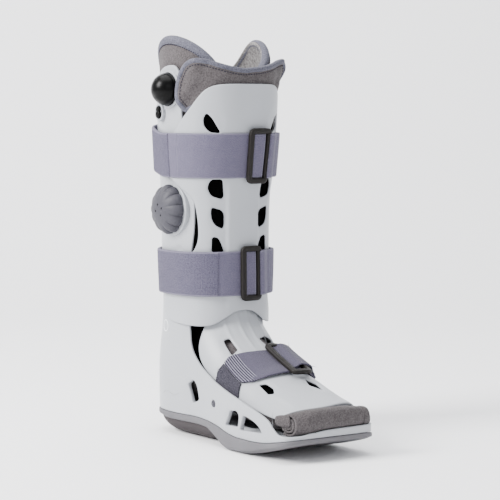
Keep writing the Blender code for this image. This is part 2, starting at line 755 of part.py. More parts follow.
def leg_ring(height, inward):
    """A ring round the leg of the bootie at a height, moved in from the envelope and by a wall."""
    ease = min(max((ANKLE_EASE_TOP - height) / ANKLE_EASE_RUN, 0.0), 1.0) * ANKLE_EASE
    ring = []
    for index in range(LINER_SIDES):
        angle = math.pi - math.tau * index / LINER_SIDES
        front = min(max(math.cos(angle) * FRONT_GROWTH + FRONT_START, 0.0), 1.0)
        inset = LINER_INSET_BACK + (LINER_INSET_FRONT + ease - LINER_INSET_BACK) * front + inward
        u = angle * CALF_HALF_WIDTH
        ring.append(leg_surface(u, height) - surface_normal(leg_surface, u, height) * inset)
    return ring


def collar_point(base, angle, share, inward):
    """A point of the collar above a ring point: two lobes that lean in, lower at the back and shin."""
    at_back = math.cos(angle) > 0
    narrow = 3.0 if not at_back else LOBE_NARROW_FAR if base.x > 0 else LOBE_NARROW_NEAR
    dip = LOBE_DIP_BACK if at_back else LOBE_DIP_FRONT
    rise = dip + (COLLAR_TOP - dip) * abs(math.sin(angle)) ** narrow - base.z
    side = abs(math.sin(angle)) ** 3
    lean = LOBE_LEAN * side * share ** 3 * (-1 if base.x > 0 else 1)
    return Vector((base.x + lean, base.y - LOBE_SHIFT * side * share, base.z + rise * share - inward))


def make_liner():
    outer = [foot_ring(row, 0.0) for row in LINER_FOOT]
    inner = [foot_ring(row, LINER_FOOT_WALL) for row in LINER_FOOT]
    outer += [leg_ring(height, 0.0) for height in LINER_HEIGHTS]
    inner += [leg_ring(height, LINER_WALL) for height in LINER_HEIGHTS]
    for ring, inward in ((outer, 0.0), (inner, 0.0010)):
        base = ring[-1]
        for share in (0.35, 0.7, 1.0):
            ring.append([collar_point(p, math.tau * i / LINER_SIDES, share, inward * share)
                         for i, p in enumerate(base)])
    loft("liner", outer + inner[::-1], LINER_GREY, 0.9, closed_ends=False)


# Half outline of the front flap from its near edge up and over to the shin. Columns: angle, level.
FLAP_EDGE = (
    (62, 2.4600), (66, 2.5600), (67, 2.6700), (66.5, 2.8400), (63, 2.9900), (56, 3.0700), (47, 3.0850),
    (34, 3.0400), (18, 2.9750), (0, 2.9500),
)
# Where the flap steps out past the panel's edge. Columns: level, run from the shin.
FLAP_STEP = (
    (2.3800, 0.0810), (2.5250, 0.0715), (2.6480, 0.0610), (2.7400, 0.0535), (2.8100, 0.0490),
    (3.0800, 0.0430),
)
FLAP_STEP_RUNS = tuple((level_height(level), run) for level, run in FLAP_STEP)
FLAP_STEP_RUN = 0.016
FLAP_FLARE = 0.0060
FLARE_LEVEL = 2.82
FLARE_HEIGHT = 0.026
FLARE_RUN = 0.03


def flap_offset(u, v):
    """Distance of the flap's inside from the envelope, from under the panel to over the shell's edge."""
    step = blend_rows(FLAP_STEP_RUNS, v)[0]
    share = min(max((abs(u) - step) / FLAP_STEP_RUN, 0.0), 1.0)
    share = share * share * (3 - 2 * share)
    flare = min(max((v - level_height(FLARE_LEVEL)) / FLARE_HEIGHT, 0.0), 1.0) ** 1.5
    reach = FLAP_FLARE * flare * min(max(u / FLARE_RUN, 0.0), 1.0)
    return -FLAP_WALL - GAP + share * (FLAP_WALL + GAP + LAYER_GAP) + reach


def make_flap():
    side = [panel_place(*row) for row in FLAP_EDGE]
    top = side + [Vector((-p.x, p.y)) for p in reversed(side)][1:]
    outline = thin_out(top, 0.016)
    plate("front_flap", leg_surface, outline, [], flap_offset, lambda u, v: flap_offset(u, v) + FLAP_WALL,
          (0.0088, 0.0150), LINER_GREY, 0.9)


# Half outline of the shin pad. Columns: angle, level.
PAD_EDGE = ((0, 2.4200), (48, 2.4200), (50, 1.6854), (45, 1.5356), (43, 1.1610), (0, 1.1610))


def make_shin_pad():
    outline = thin_out(mirrored([panel_place(*row) for row in PAD_EDGE]), 0.03)
    plate("shin_pad", leg_surface, outline, [], -LAYER_GAP - PAD_WALL, -LAYER_GAP, (0.0115, 0.030),
          BLACK, 0.8)


def strap_offset(u, v):
    """Distance of a calf strap's inside from the envelope: over the panel in front, on the shell behind."""
    degrees = math.degrees(abs(u) / CALF_HALF_WIDTH)
    edge = UPPER_WING_ANGLE if v > level_height(1.5) else LOWER_WING_ANGLE
    share = min(max((degrees - edge) / WING_STEP, 0.0), 1.0)
    share = share * share * (3 - 2 * share)
    return (LAYER_GAP + PANEL_WALL) * (1 - share) + LAYER_GAP


def make_calf_strap(name, height):
    """A closed band round the leg."""
    low, high = height - STRAP_WIDTH / 2, height + STRAP_WIDTH / 2
    count = 46
    rings = []
    for index in range(count):
        u = (-math.pi + math.tau * index / count) * CALF_HALF_WIDTH
        ring = []
        for v, outer in ((low, 0), (high, 0), (high, 1), (low, 1)):
            base = leg_surface(u, v)
            normal = surface_normal(leg_surface, u, v)
            ring.append(base + normal * (strap_offset(u, v) + STRAP_WALL * outer))
        rings.append(ring)
    loft(name, rings, STRAP_GREY, 0.8, closed_ends=False)


def ring_outline(width, height, radius, middle):
    corners = [(middle[0] + sx * width / 2, middle[1] + sy * height / 2)
               for sx, sy in ((-1, -1), (1, -1), (1, 1), (-1, 1))]
    return rounded(corners, radius, 3)


def make_ring(name, surface, middle, rise):
    """A flat ring round a strap, bent to the surface at a rise above it."""
    outline = thin_out(ring_outline(RING_OUTER_WIDTH, RING_OUTER_HEIGHT, 0.004, middle), 0.012)
    hole = ring_outline(RING_OUTER_WIDTH - 2 * RING_BAR, STRAP_WIDTH + 0.0006, 0.002, middle)
    plate(name, surface, outline, [thin_out(hole, 0.012)], rise, rise + RING_WALL, (0.012, 0.020),
          BLACK, 0.4)


def make_calf_ring(name, height, angle):
    rise = 3 * LAYER_GAP + PANEL_WALL + STRAP_WALL
    make_ring(name, leg_surface, leg_place(angle, height), rise)


# Instep strap and elastic on the cover. Columns: angle from the ridge in degrees, run from the toe end.
FOOT_STRAP_EDGE = (
    (62, 0.0840), (30, 0.0780), (0, 0.0770), (-22, 0.0790), (-36, 0.0830), (-47, 0.0885), (-56, 0.1000),
    (-52, 0.1355), (-43, 0.1380), (-30, 0.1355), (-14, 0.1310), (4, 0.1290), (30, 0.1300), (62, 0.1340),
)
ELASTIC_EDGE = ((-57, 0.1000), (-72, 0.0905), (-76, 0.1290), (-62, 0.1350), (-53, 0.1362))
FOOT_RING_PLACE = (17, 0.1040)


def make_foot_straps():
    strap = [cover_place(*row) for row in reversed(FOOT_STRAP_EDGE)]
    plate("foot_strap", cover_surface, thin_out(strap, 0.014), [], LAYER_GAP, LAYER_GAP + STRAP_WALL,
          (0.0095, 0.014), STRAP_GREY, 0.8)
    elastic = [cover_place(*row) for row in reversed(ELASTIC_EDGE)]
    plate("foot_elastic", cover_surface, thin_out(elastic, 0.014), [], LAYER_GAP, LAYER_GAP + ELASTIC_WALL,
          (0.0095, 0.014), (0.16, 0.14, 0.16), 0.9)
    make_ring("foot_ring", cover_surface, cover_place(*FOOT_RING_PLACE), 2 * LAYER_GAP + STRAP_WALL)


# Rolled cloth at the toe
WRAP_HALF_WIDTH = 0.833 * CALF_HALF_WIDTH
WRAP_BEND = 0.0095
WRAP_TOP = 0.0575
WRAP_DROP_NEAR = 0.0070
WRAP_DROP_FAR = 0.0060
WRAP_FRONT = TOE_REACH + 0.0008
WRAP_LIP = TOE_REACH - SHELL_WALL - 0.0007
WRAP_FLOOR = 0.0302
WRAP_ROOT = TOE_REACH - 0.0295
WRAP_CLEAR = 0.0018
COVER_DROP = 0.0045


def cover_front(x, sweep):
    """The point of the cover's front edge over a distance from the middle plane."""
    low, high = 0.0, 1.0
    side = 1 if x > 0 else -1
    turn = math.radians(COVER_EDGE_ANGLE) * COVER_SPREAD * side
    for _ in range(24):
        share = (low + high) / 2
        point = cover_surface(turn * share, sweep * share ** COVER_SWEEP_POWER)
        if abs(point.x) < abs(x):
            low = share
        else:
            high = share
    return point


def make_toe_wrap():
    """Rolled cloth in the toe opening: a bulging section swept along the toe's front line."""
    rings = []
    count = 18
    for index in range(count + 1):
        across = -1 + 2 * index / count
        x = across * WRAP_HALF_WIDTH
        bend = WRAP_BEND * abs(across) ** 3
        drop, sweep = (WRAP_DROP_NEAR, COVER_SWEEP_NEAR) if across < 0 else (WRAP_DROP_FAR, COVER_SWEEP_FAR)
        top = WRAP_TOP - drop * abs(across) ** 2.4
        edge = cover_front(x, sweep)
        under = min(top, edge.z - COVER_DROP)
        tuck = min(edge.y - WRAP_CLEAR, -WRAP_ROOT - 0.0020)
        front = bend - WRAP_FRONT
        lip = bend - WRAP_LIP
        low = WRAP_FLOOR
        section = (
            (-WRAP_ROOT, low), (lip + 0.0010, low), (lip, low + 0.0030), (front + 0.0016, low + 0.0050),
            (front, low + (top - low) * 0.42), (front + 0.0004, low + (top - low) * 0.72),
            (front + 0.0022, top - 0.0018), (front + 0.0062, min(top, edge.z - COVER_DROP / 3)),
            (tuck, under), (-WRAP_ROOT, under - 0.0020))
        rings.append([Vector((x, y, z)) for y, z in section])
    loft("toe_wrap", rings, LINER_GREY, 0.9)


def turned(name, place, face, profile, segments, color, roughness, wave=lambda angle, share: 1.0):
    """A body turned about an axis along X, with its origin on the axis at the face.

    Profile holds radius and height outward from the face.
    """
    rings = []
    for radius, rise in profile:
        ring = []
        for index in range(segments):
            angle = math.tau * index / segments
            r = radius * wave(angle, rise)
            ring.append(Vector((-rise, r * math.cos(angle), r * math.sin(angle))))
        rings.append(ring)
    piece = loft(name, rings, color, roughness)
    piece.location = (-face, *place)
    return piece


def dome(radius, foot, height, angles):
    """Profile rows of a dome above its foot. Angles run from the rim towards the middle, in degrees."""
    turns = [math.radians(angle) for angle in angles]
    return [(radius * math.cos(a), foot + height * math.sin(a)) for a in turns]


def scallop(angle, rise):
    """Share of the dial's radius at an angle."""
    depth = SCALLOP_DEPTH / DIAL_RADIUS
    return 1 - depth + depth * abs(math.cos(angle * SCALLOPS / 2))


def make_controls():
    bulb = [(BULB_RADIUS, 0.0), (BULB_RADIUS, BULB_FOOT)]
    bulb += dome(BULB_RADIUS, BULB_FOOT, BULB_HEIGHT, (18, 36, 54, 70, 83))
    turned("pump_bulb", BULB_PLACE, bulb_face() + GAP, bulb, 24, BLACK, 0.15)
    start = valve_face() - BUTTON_HEIGHT + BUTTON_TRAVEL + GAP
    button = [(BUTTON_RADIUS, 0.0), (BUTTON_RADIUS, BUTTON_HEIGHT - BUTTON_EDGE),
              (BUTTON_RADIUS - BUTTON_EDGE, BUTTON_HEIGHT)]
    turned("release_button", VALVE_PLACE, start, button, 20, BLACK, 0.3)
    dial = [(DIAL_RADIUS - DIAL_EDGE, 0.0), (DIAL_RADIUS, DIAL_RIM / 2), (DIAL_RADIUS, DIAL_RIM)]
    dial += dome(DIAL_RADIUS, DIAL_RIM, DIAL_HEIGHT - DIAL_RIM, (22, 42, 60, 76))
    turned("selector_dial", DIAL_PLACE, dial_face() + GAP, dial, 48, (0.20, 0.19, 0.20), 0.45, scallop)
    wall = shell_surface(side_run(RIVET_PLACE[0]), RIVET_PLACE[1])
    rivet = [(RIVET_RADIUS, 0.0), (RIVET_RADIUS, SHELL_WALL),
             (RIVET_RADIUS - RIVET_EDGE, SHELL_WALL + RIVET_EDGE)]
    turned("side_rivet", RIVET_PLACE, -wall.x - SHELL_WALL, rivet, 12, (0.25, 0.25, 0.26), 0.4)


def main():
    for old in list(bpy.data.objects):
        bpy.data.objects.remove(old)
    make_outsole()
    make_rear_shell()
    make_front_panel()
    make_foot_cover()
    make_liner()
    make_flap()
    make_shin_pad()
    make_calf_strap("upper_strap", UPPER_STRAP_HEIGHT)
    make_calf_strap("lower_strap", LOWER_STRAP_HEIGHT)
    make_calf_ring("upper_ring", UPPER_STRAP_HEIGHT, UPPER_RING_ANGLE)
    make_calf_ring("lower_ring", LOWER_STRAP_HEIGHT, LOWER_RING_ANGLE)
    make_foot_straps()
    make_toe_wrap()
    make_controls()


main()
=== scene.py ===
"""Looks of the walking boot: moulded shells, padded cloth, webbing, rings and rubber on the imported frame."""
import math

import bmesh
import bpy
import numpy as np
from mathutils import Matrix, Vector
from mathutils.geometry import delaunay_2d_cdt
from mathutils.kdtree import KDTree


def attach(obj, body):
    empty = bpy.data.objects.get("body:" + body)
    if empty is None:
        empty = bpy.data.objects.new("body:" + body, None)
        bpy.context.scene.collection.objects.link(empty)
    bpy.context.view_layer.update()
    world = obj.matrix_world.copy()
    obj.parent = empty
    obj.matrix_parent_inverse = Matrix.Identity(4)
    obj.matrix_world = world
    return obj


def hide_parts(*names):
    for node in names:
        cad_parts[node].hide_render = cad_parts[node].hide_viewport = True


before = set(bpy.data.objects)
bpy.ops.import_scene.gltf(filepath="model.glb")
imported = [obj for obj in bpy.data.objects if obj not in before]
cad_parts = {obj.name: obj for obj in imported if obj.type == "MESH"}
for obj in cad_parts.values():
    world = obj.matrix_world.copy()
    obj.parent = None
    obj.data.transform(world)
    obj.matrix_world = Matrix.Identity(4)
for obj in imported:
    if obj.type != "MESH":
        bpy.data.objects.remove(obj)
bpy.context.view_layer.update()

# Sizes of the boot, as its solids have them
SHELL_TOP = 0.4245
COLLAR_TOP = 0.456
CALF_HALF_WIDTH = 0.066
CALF_DEPTH = 0.070
FOOT_HALF_WIDTH = 0.0545
HEEL_DEPTH = 0.067
TOE_REACH = 0.2275
ANKLE_HEIGHT = 0.124
SHIN_FRONT = 0.0640
SHELL_WALL = 0.0030
PANEL_WALL = 0.0028
STRAP_WALL = 0.0018
ELASTIC_WALL = 0.0014
LINER_WALL = 0.0080
LINER_FOOT_WALL = 0.0060
FLAP_WALL = 0.0036
LAYER_GAP = 0.0007
GAP = 0.0003
STRAP_WIDTH = 0.0505
UPPER_STRAP_HEIGHT = 0.3220
LOWER_STRAP_HEIGHT = 0.1885
RING_OUTER_HEIGHT = 0.0620
RING_OUTER_WIDTH = 0.0290
RING_BAR = 0.0058
BULB_RADIUS = 0.0184
BULB_RIM = 0.0015
BULB_PLACE = (-0.0030, 0.3960)
TAB_TOP = 0.4235
VALVE_PLACE = (0.0140, 0.3700)
DIAL_PLACE = (0.0020, 0.2600)
DIAL_RADIUS = 0.0283
DIAL_HEIGHT = 0.0188
DIAL_SEAT_RADIUS = 0.0306
DIAL_BAND = 0.0030
SEAT_RISE = 0.0012
VALVE_RISE = 0.0040
SCALLOPS = 12
RIVET_PLACE = (-0.0805, 0.0470)
RIVET_RADIUS = 0.0038
BACK_RUN = 0.75 * (CALF_HALF_WIDTH + HEEL_DEPTH)
TOE_DEPTH = 0.0300
TOE_SQUARE = 5.0
SIDE_RUN = TOE_REACH - TOE_DEPTH
TOE_RUN = 1.25 * FOOT_HALF_WIDTH
SHELL_END = BACK_RUN + SIDE_RUN + TOE_RUN

# Details that several pieces share
WALL_BEVEL = 0.0009
WINDOW_ROUNDING = 0.0036
COVER_ROUNDING = 0.0026
COLLAR_BASE = 0.403
FOOT_EDGE_HEIGHT = 0.022


def smooth_table(rows):
    """Reads a table's columns on a smooth curve that never overshoots its rows."""
    rows = np.array(rows, float)
    keys, values = rows[:, 0], rows[:, 1:]
    steps = np.diff(values, axis=0) / np.diff(keys)[:, None]
    slopes = np.zeros_like(values)
    agree = steps[:-1] * steps[1:] > 0
    total = np.where(agree, steps[:-1] + steps[1:], 1.0)
    slopes[1:-1] = np.where(agree, 2 * steps[:-1] * steps[1:] / total, 0.0)
    slopes[0], slopes[-1] = steps[0], steps[-1]

    def read(key):
        key = np.clip(np.asarray(key, float), keys[0], keys[-1])
        place = np.clip(np.searchsorted(keys, key, side="right") - 1, 0, len(keys) - 2)
        span = keys[place + 1] - keys[place]
        t = (key - keys[place]) / span
        found = ((2 * t ** 3 - 3 * t ** 2 + 1)[..., None] * values[place]
                 + ((t ** 3 - 2 * t ** 2 + t) * span)[..., None] * slopes[place]
                 + (3 * t ** 2 - 2 * t ** 3)[..., None] * values[place + 1]
                 + ((t ** 3 - t ** 2) * span)[..., None] * slopes[place + 1])
        return np.moveaxis(found, -1, 0)

    return read


# Leg and foot envelope: height share, half width, back depth, front depth, back and front squareness
envelope_rows = smooth_table((
    (0.000, 0.800, 0.950, 14.0, 2.8, 3.0), (0.061, 0.822, 0.962, 14.0, 2.8, 3.0),
    (0.118, 0.830, 0.972, 9.40, 2.8, 3.0), (0.177, 0.832, 0.970, 4.20, 2.8, 3.0),
    (0.236, 0.826, 0.945, 1.60, 2.7, 2.8), (0.288, 0.820, 0.915, 0.875, 2.5, 2.5),
    (0.354, 0.822, 0.895, 0.880, 2.4, 2.5), (0.498, 0.856, 0.925, 0.870, 2.3, 2.5),
    (0.617, 0.872, 0.950, 0.880, 2.2, 2.5), (0.707, 0.900, 0.985, 0.930, 2.15, 2.45),
    (0.841, 0.955, 1.000, 1.030, 2.1, 2.4), (0.942, 0.970, 1.020, 1.070, 2.1, 2.4),
    (1.080, 0.980, 1.040, 1.090, 2.1, 2.4)))
foot_rows = smooth_table((
    (0.00, 1.000), (0.20, 0.990), (0.36, 1.025), (0.52, 1.085), (0.64, 1.115),
    (0.76, 1.125), (0.88, 1.120), (1.00, 1.100)))
sole_rows = smooth_table((
    (-0.32, 0.0260), (0.00, 0.0262), (0.17, 0.0272), (0.28, 0.0262), (0.38, 0.0236), (0.49, 0.0186),
    (0.58, 0.0166), (0.68, 0.0166), (0.80, 0.0180), (0.90, 0.0216), (1.00, 0.0258)))
underside_rows = smooth_table((
    (-0.32, 0.0070), (-0.26, 0.0024), (-0.20, 0.0000), (0.20, 0.0000), (0.28, 0.0024), (0.36, 0.0024),
    (0.44, 0.0004), (0.48, 0.0000), (0.60, 0.0000), (0.72, 0.0036), (0.82, 0.0086), (0.92, 0.0146),
    (1.00, 0.0205)))
# Lower edge of the sole's light side band: y, height
band_rows = smooth_table((
    (-0.2275, 0.0206), (-0.2000, 0.0146), (-0.1810, 0.0104), (-0.1620, 0.0060), (-0.1350, 0.0022),
    (-0.1140, 0.0010), (-0.0996, 0.0036), (-0.0880, 0.0090), (-0.0750, 0.0146), (-0.0640, 0.0184),
    (-0.0410, 0.0193), (-0.0070, 0.0187), (0.0210, 0.0185), (0.0340, 0.0200), (0.0700, 0.0205)))

# Cover sections: ridge y, ridge z, tilt, half width, depth, squareness, rise to the far side
COVER = (
    (-0.0515, 0.1650, 0, 0.0465, 0.047, 2.15, 0.00), (-0.0530, 0.1500, 6, 0.0468, 0.049, 2.15, 0.00),
    (-0.0580, 0.1350, 18, 0.0480, 0.052, 2.15, 0.00), (-0.0690, 0.1215, 36, 0.0505, 0.052, 2.3, 0.00),
    (-0.0850, 0.1095, 52, 0.0510, 0.050, 2.2, 0.02), (-0.1070, 0.0980, 62, 0.0515, 0.048, 2.2, 0.04),
    (-0.1350, 0.0865, 69, 0.0525, 0.044, 2.2, 0.06), (-0.1650, 0.0755, 73, 0.0535, 0.038, 2.2, 0.08),
    (-0.1950, 0.0650, 78, 0.0540, 0.033, 2.2, 0.09), (-0.2180, 0.0575, 82, 0.0540, 0.030, 2.2, 0.09))
RIDGE = [0.0]
for before, after in zip(COVER, COVER[1:]):
    RIDGE.append(RIDGE[-1] + math.hypot(after[0] - before[0], after[1] - before[1]))
COVER_TOP = RIDGE[-1]
COVER_SPREAD = 0.052
cover_rows = smooth_table([(run,) + row for run, row in zip(RIDGE, COVER)])


def envelope(height):
    """Half width, back and front depth, and both squarenesses of the leg's outline at a height."""
    width, back, front, back_square, front_square = envelope_rows(np.asarray(height) / SHELL_TOP)
    return width * CALF_HALF_WIDTH, back * CALF_DEPTH, front * SHIN_FRONT, back_square, front_square


def sole_line(y):
    return sole_rows(-np.asarray(y) / TOE_REACH)[0]


def underside(y):
    return underside_rows(-np.asarray(y) / TOE_REACH)[0]


def oval(angle, half_width, depth, square):
    """Points of an oval that is squarer the larger square is."""
    reach = (np.abs(np.sin(angle) / half_width) ** square
             + np.abs(np.cos(angle) / depth) ** square) ** (-1 / square)
    return reach * np.sin(angle), reach * np.cos(angle)


def stacked(x, y, z):
    """Points from their three coordinates."""
    return np.stack(np.broadcast_arrays(x, y, z), -1).astype(float)


def shell_surface(along, height):
    """The shell's outside: along runs round the heel, down the near side (-X) and across the toe."""
    along, height = np.broadcast_arrays(np.asarray(along, float), np.asarray(height, float))
    half_width, back, front, back_square, front_square = envelope(height)
    side = np.where(along < 0, 1.0, -1.0)
    run = np.abs(along)
    back_x, back_y = oval(np.minimum(run, BACK_RUN) / BACK_RUN * math.pi / 2, half_width, back, back_square)
    down = np.clip(run - BACK_RUN, 0, SIDE_RUN)
    pinch = np.maximum(1 - (down / front) ** front_square, 0.02) ** (1 / front_square)
    wide = half_width * foot_rows(down / TOE_REACH)[0]
    turn = np.maximum(run - BACK_RUN - SIDE_RUN, 0) / TOE_RUN * math.pi / 2
    toe_y, toe_x = oval(turn, TOE_DEPTH, wide, TOE_SQUARE)
    x = np.where(run <= BACK_RUN, back_x, np.where(run <= BACK_RUN + SIDE_RUN, wide * pinch, toe_x))
    y = np.where(run <= BACK_RUN, back_y, np.where(run <= BACK_RUN + SIDE_RUN, -down, -SIDE_RUN - toe_y))
    return stacked(side * x, y, height)


def leg_surface(run, height):
    """The envelope round the leg: run is 0 at the shin and grows to the far side (+X)."""
    run, height = np.broadcast_arrays(np.asarray(run, float), np.asarray(height, float))
    half_width, back, front, back_square, front_square = envelope(np.maximum(height, ANKLE_HEIGHT))
    angle = run / CALF_HALF_WIDTH
    ahead = np.abs(angle) <= math.pi / 2
    x, y = oval(angle, half_width, np.where(ahead, front, back), np.where(ahead, front_square, back_square))
    return stacked(x, -y, height)


def cover_surface(across, run):
    """The foot cover's outside: across is an arc from the ridge, run goes back from the toe end."""
    y, z, tilt, half_width, depth, square, rise = cover_rows(COVER_TOP - np.asarray(run, float))
    x, d = oval(np.asarray(across, float) / COVER_SPREAD, half_width, depth, square)
    tilt = np.radians(tilt)
    return stacked(x, y + (depth - d) * np.cos(tilt), z - (depth - d) * np.sin(tilt) + rise * x)


def outward(surface, u, v):
    """Outward unit normals of a surface."""
    step = 0.0004
    normal = np.cross(surface(u + step, v) - surface(u - step, v),
                      surface(u, v + step) - surface(u, v - step))
    return normal / np.linalg.norm(normal, axis=-1, keepdims=True)


def ramp(value, low, high):
    """Smooth step from 0 at low to 1 at high; it runs the other way where low is above high."""
    t = np.clip((np.asarray(value, float) - low) / (high - low), 0, 1)
    return t * t * (3 - 2 * t)


def leg_place(angle, height):
    """Place on the leg's plane from an angle at the shin."""
    return np.array((math.radians(angle) * CALF_HALF_WIDTH, height))


def cover_place(angle, run):
    """Place on the cover's plane from an angle at its ridge."""
    return np.array((math.radians(angle) * COVER_SPREAD, run))


def shell_place(y, z):
    """Place on the shell's plane of a point on its near side."""
    if y <= 0:
        return np.array((BACK_RUN - y, z))
    runs = np.linspace(0, BACK_RUN, 400)
    return np.array((np.interp(y, shell_surface(runs, z)[::-1, 1], runs[::-1]), z))


def rounded(points, radius, segments=6):
    """A closed outline with rounded corners."""
    result = []
    for index, corner in enumerate(points):
        corner = np.array(corner, float)
        before = np.array(points[index - 1], float) - corner
        after = np.array(points[(index + 1) % len(points)], float) - corner
        reach = min(radius, np.linalg.norm(before) * 0.48, np.linalg.norm(after) * 0.48)
        start = corner + before / np.linalg.norm(before) * reach
        end = corner + after / np.linalg.norm(after) * reach
        for t in np.linspace(0, 1, segments + 1):
            result.append(start * (1 - t) ** 2 + corner * 2 * t * (1 - t) + end * t * t)
    return result


def eased(points, rounds=3):
    """An open line with its corners cut smooth; its ends stay."""
    line = np.array(points, float)
    for _ in range(rounds):
        near, far = line[:-1] * 0.75 + line[1:] * 0.25, line[:-1] * 0.25 + line[1:] * 0.75
        line = np.vstack([line[:1], np.stack([near, far], 1).reshape(-1, 2)[1:-1], line[-1:]])
    return list(line)


def spaced(points, step, closed=True):
    """A line with no stretch longer than a step."""
    result = []
    points = [np.array(p, float) for p in points]
    for index, start in enumerate(points if closed else points[:-1]):
        end = points[(index + 1) % len(points)]
        pieces = max(1, math.ceil(np.linalg.norm(end - start) / step))
        result += [start + (end - start) * t for t in np.arange(pieces) / pieces]
    return result if closed else result + [points[-1]]


def evenly(points, count, closed=False):
    """A line of count points at equal distances."""
    line = np.array(points, float)
    if closed:
        line = np.vstack([line, line[:1]])
    length = np.concatenate([[0], np.cumsum(np.linalg.norm(np.diff(line, axis=0), axis=1))])
    places = np.linspace(0, length[-1], count, endpoint=not closed)
    return np.stack([np.interp(places, length, line[:, axis]) for axis in range(line.shape[1])], -1)


def flat_tree(points):
    """A search tree of places on the flat."""
    tree = KDTree(len(points))
    for index, spot in enumerate(points):
        tree.insert((*spot, 0.0), index)
    tree.balance()
    return tree


def mirrored(half):
    """A closed outline from its near half, whose ends lie on the middle line."""
    return half + [p * (-1, 1) for p in reversed(half)][1:-1]


def hollows(u, v, spots, outer, inner):
    """Depth of the deepest of some oval hollows: middle u and v, half width, half height, depth."""
    depth = np.zeros_like(u)
    for middle_u, middle_v, wide, tall, deep in spots:
        reach = np.hypot((u - middle_u) / wide, (v - middle_v) / tall)
        depth = np.maximum(depth, deep * ramp(reach, outer, inner))
    return depth


def ribs_along(index):
    """Swell of a binding at each of its rings."""
    return 1 + 0.035 * np.sin(index * 2.1)


def within(points, loop):
    """Whether each point lies in a closed outline."""
    x, y = points[:, :1], points[:, 1:2]
    ax, ay = loop[:, 0], loop[:, 1]
    bx, by = np.roll(ax, 1), np.roll(ay, 1)
    result = np.zeros(len(points), bool)
    rise = np.where(by == ay, 1e-12, by - ay)
    for chunk in range(0, len(points), 4000):
        part = slice(chunk, chunk + 4000)
        crossing = ((ay > y[part]) != (by > y[part])) & (x[part] < (bx - ax) * (y[part] - ay) / rise + ax)
        result[part] = crossing.sum(1) % 2 == 1
    return result


def piece_from(name, points, faces, material, flat=None, bevel=0.0, smooth=True, weld=1e-5):
    """A closed, outward facing object from points and faces. Flat holds each point's place on the cloth."""
    mesh = bmesh.new()
    corners = [mesh.verts.new(p) for p in np.asarray(points, float)]
    layer = mesh.loops.layers.uv.new("flat")
    for face in faces:
        made = mesh.faces.new([corners[i] for i in face])
        if flat is not None:
            for loop, i in zip(made.loops, face):
                loop[layer].uv = flat[i]
    bmesh.ops.delete(mesh, geom=[v for v in mesh.verts if not v.link_faces], context='VERTS')
    bmesh.ops.remove_doubles(mesh, verts=mesh.verts[:], dist=weld)
    bmesh.ops.recalc_face_normals(mesh, faces=mesh.faces[:])
    if mesh.calc_volume(signed=True) < 0:
        bmesh.ops.reverse_faces(mesh, faces=mesh.faces[:])
    data = bpy.data.meshes.new(name)
    mesh.to_mesh(data)
    mesh.free()
    data.materials.append(material)
    piece = bpy.data.objects.new(name, data)
    bpy.context.scene.collection.objects.link(piece)
    if bevel:
        edge = piece.modifiers.new("edge", 'BEVEL')
        edge.width = bevel
        edge.segments = 2
        edge.limit_method = 'ANGLE'
        edge.angle_limit = math.radians(50)
        edge.use_clamp_overlap = False
        settle(piece)
    for polygon in piece.data.polygons:
        polygon.use_smooth = smooth
    return piece


def settle(piece):
    """Turn a piece's modifiers into plain mesh."""
    graph = bpy.context.evaluated_depsgraph_get()
    made = bpy.data.meshes.new_from_object(piece.evaluated_get(graph))
    piece.modifiers.clear()
    old = piece.data
    piece.data = made
    bpy.data.meshes.remove(old)


def wrapped_wall(surface, outline, holes, inner, outer, step, seam=math.inf):
    """Points, faces and flat places of a wall with holes, wrapped on a surface between two offsets."""
    loops = [np.array(spaced(loop, step)) for loop in [outline] + list(holes)]
    border = np.vstack(loops)
    tree = flat_tree(border)
    low, high = loops[0].min(0), loops[0].max(0)
    rows = np.arange(low[1] + step / 2, high[1], step * 0.87)
    columns = np.arange(low[0] + step / 2, high[0], step)
    grid = np.array([(u + step / 2 * (r % 2), v) for r, v in enumerate(rows) for u in columns])
    keep = within(grid, loops[0])
    for loop in loops[1:]:
        keep &= ~within(grid, loop)
    grid = [p for p in grid[keep] if tree.find((*p, 0.0))[2] > step * 0.6]
    edges, first = [], 0
    for loop in loops:
        edges += [(first + i, first + (i + 1) % len(loop)) for i in range(len(loop))]
        first += len(loop)
    found = delaunay_2d_cdt([Vector(p) for p in list(border) + grid], edges, [], 0, 1e-7)
    flat = np.array([tuple(p) for p in found[0]])
    faces = np.array([tuple(f) for f in found[2] if len(f) == 3])
    middles = flat[faces].mean(1)
    keep = within(middles, loops[0])
    for loop in loops[1:]:
        keep &= ~within(middles, loop)
    faces = faces[keep]
    u, v = flat[:, 0], flat[:, 1]
    base, normal = surface(u, v), outward(surface, u, v)
    top = base + normal * np.broadcast_to(outer(u, v) if callable(outer) else outer, u.shape)[:, None]
    bottom = base + normal * np.broadcast_to(inner(u, v) if callable(inner) else inner, u.shape)[:, None]
    count = len(flat)
    made = [tuple(f) for f in faces] + [tuple(i + count for i in f[::-1]) for f in faces]
    sides = set()
    for a, b, c in faces:
        sides.update(((a, b), (b, c), (c, a)))
    for start, end in sides:
        if (end, start) not in sides and not min(abs(u[start]), abs(u[end])) > seam - 1e-5:
            made.append((end, start, start + count, end + count))
    return np.vstack([top, bottom]), made, np.vstack([flat, flat])


def ring_faces(count, size, closed=False):
    """Faces between the rings of a tube. A closed tube joins its last ring to its first."""
    faces = []
    for ring in range(count if closed else count - 1):
        here, after = ring * size, (ring + 1) % count * size
        faces += [(here + i, here + (i + 1) % size, after + (i + 1) % size, after + i) for i in range(size)]
    return faces


def end_faces(count, size):
    """The two flat ends of an open tube."""
    return [tuple(range(size))[::-1], tuple(range((count - 1) * size, count * size))]


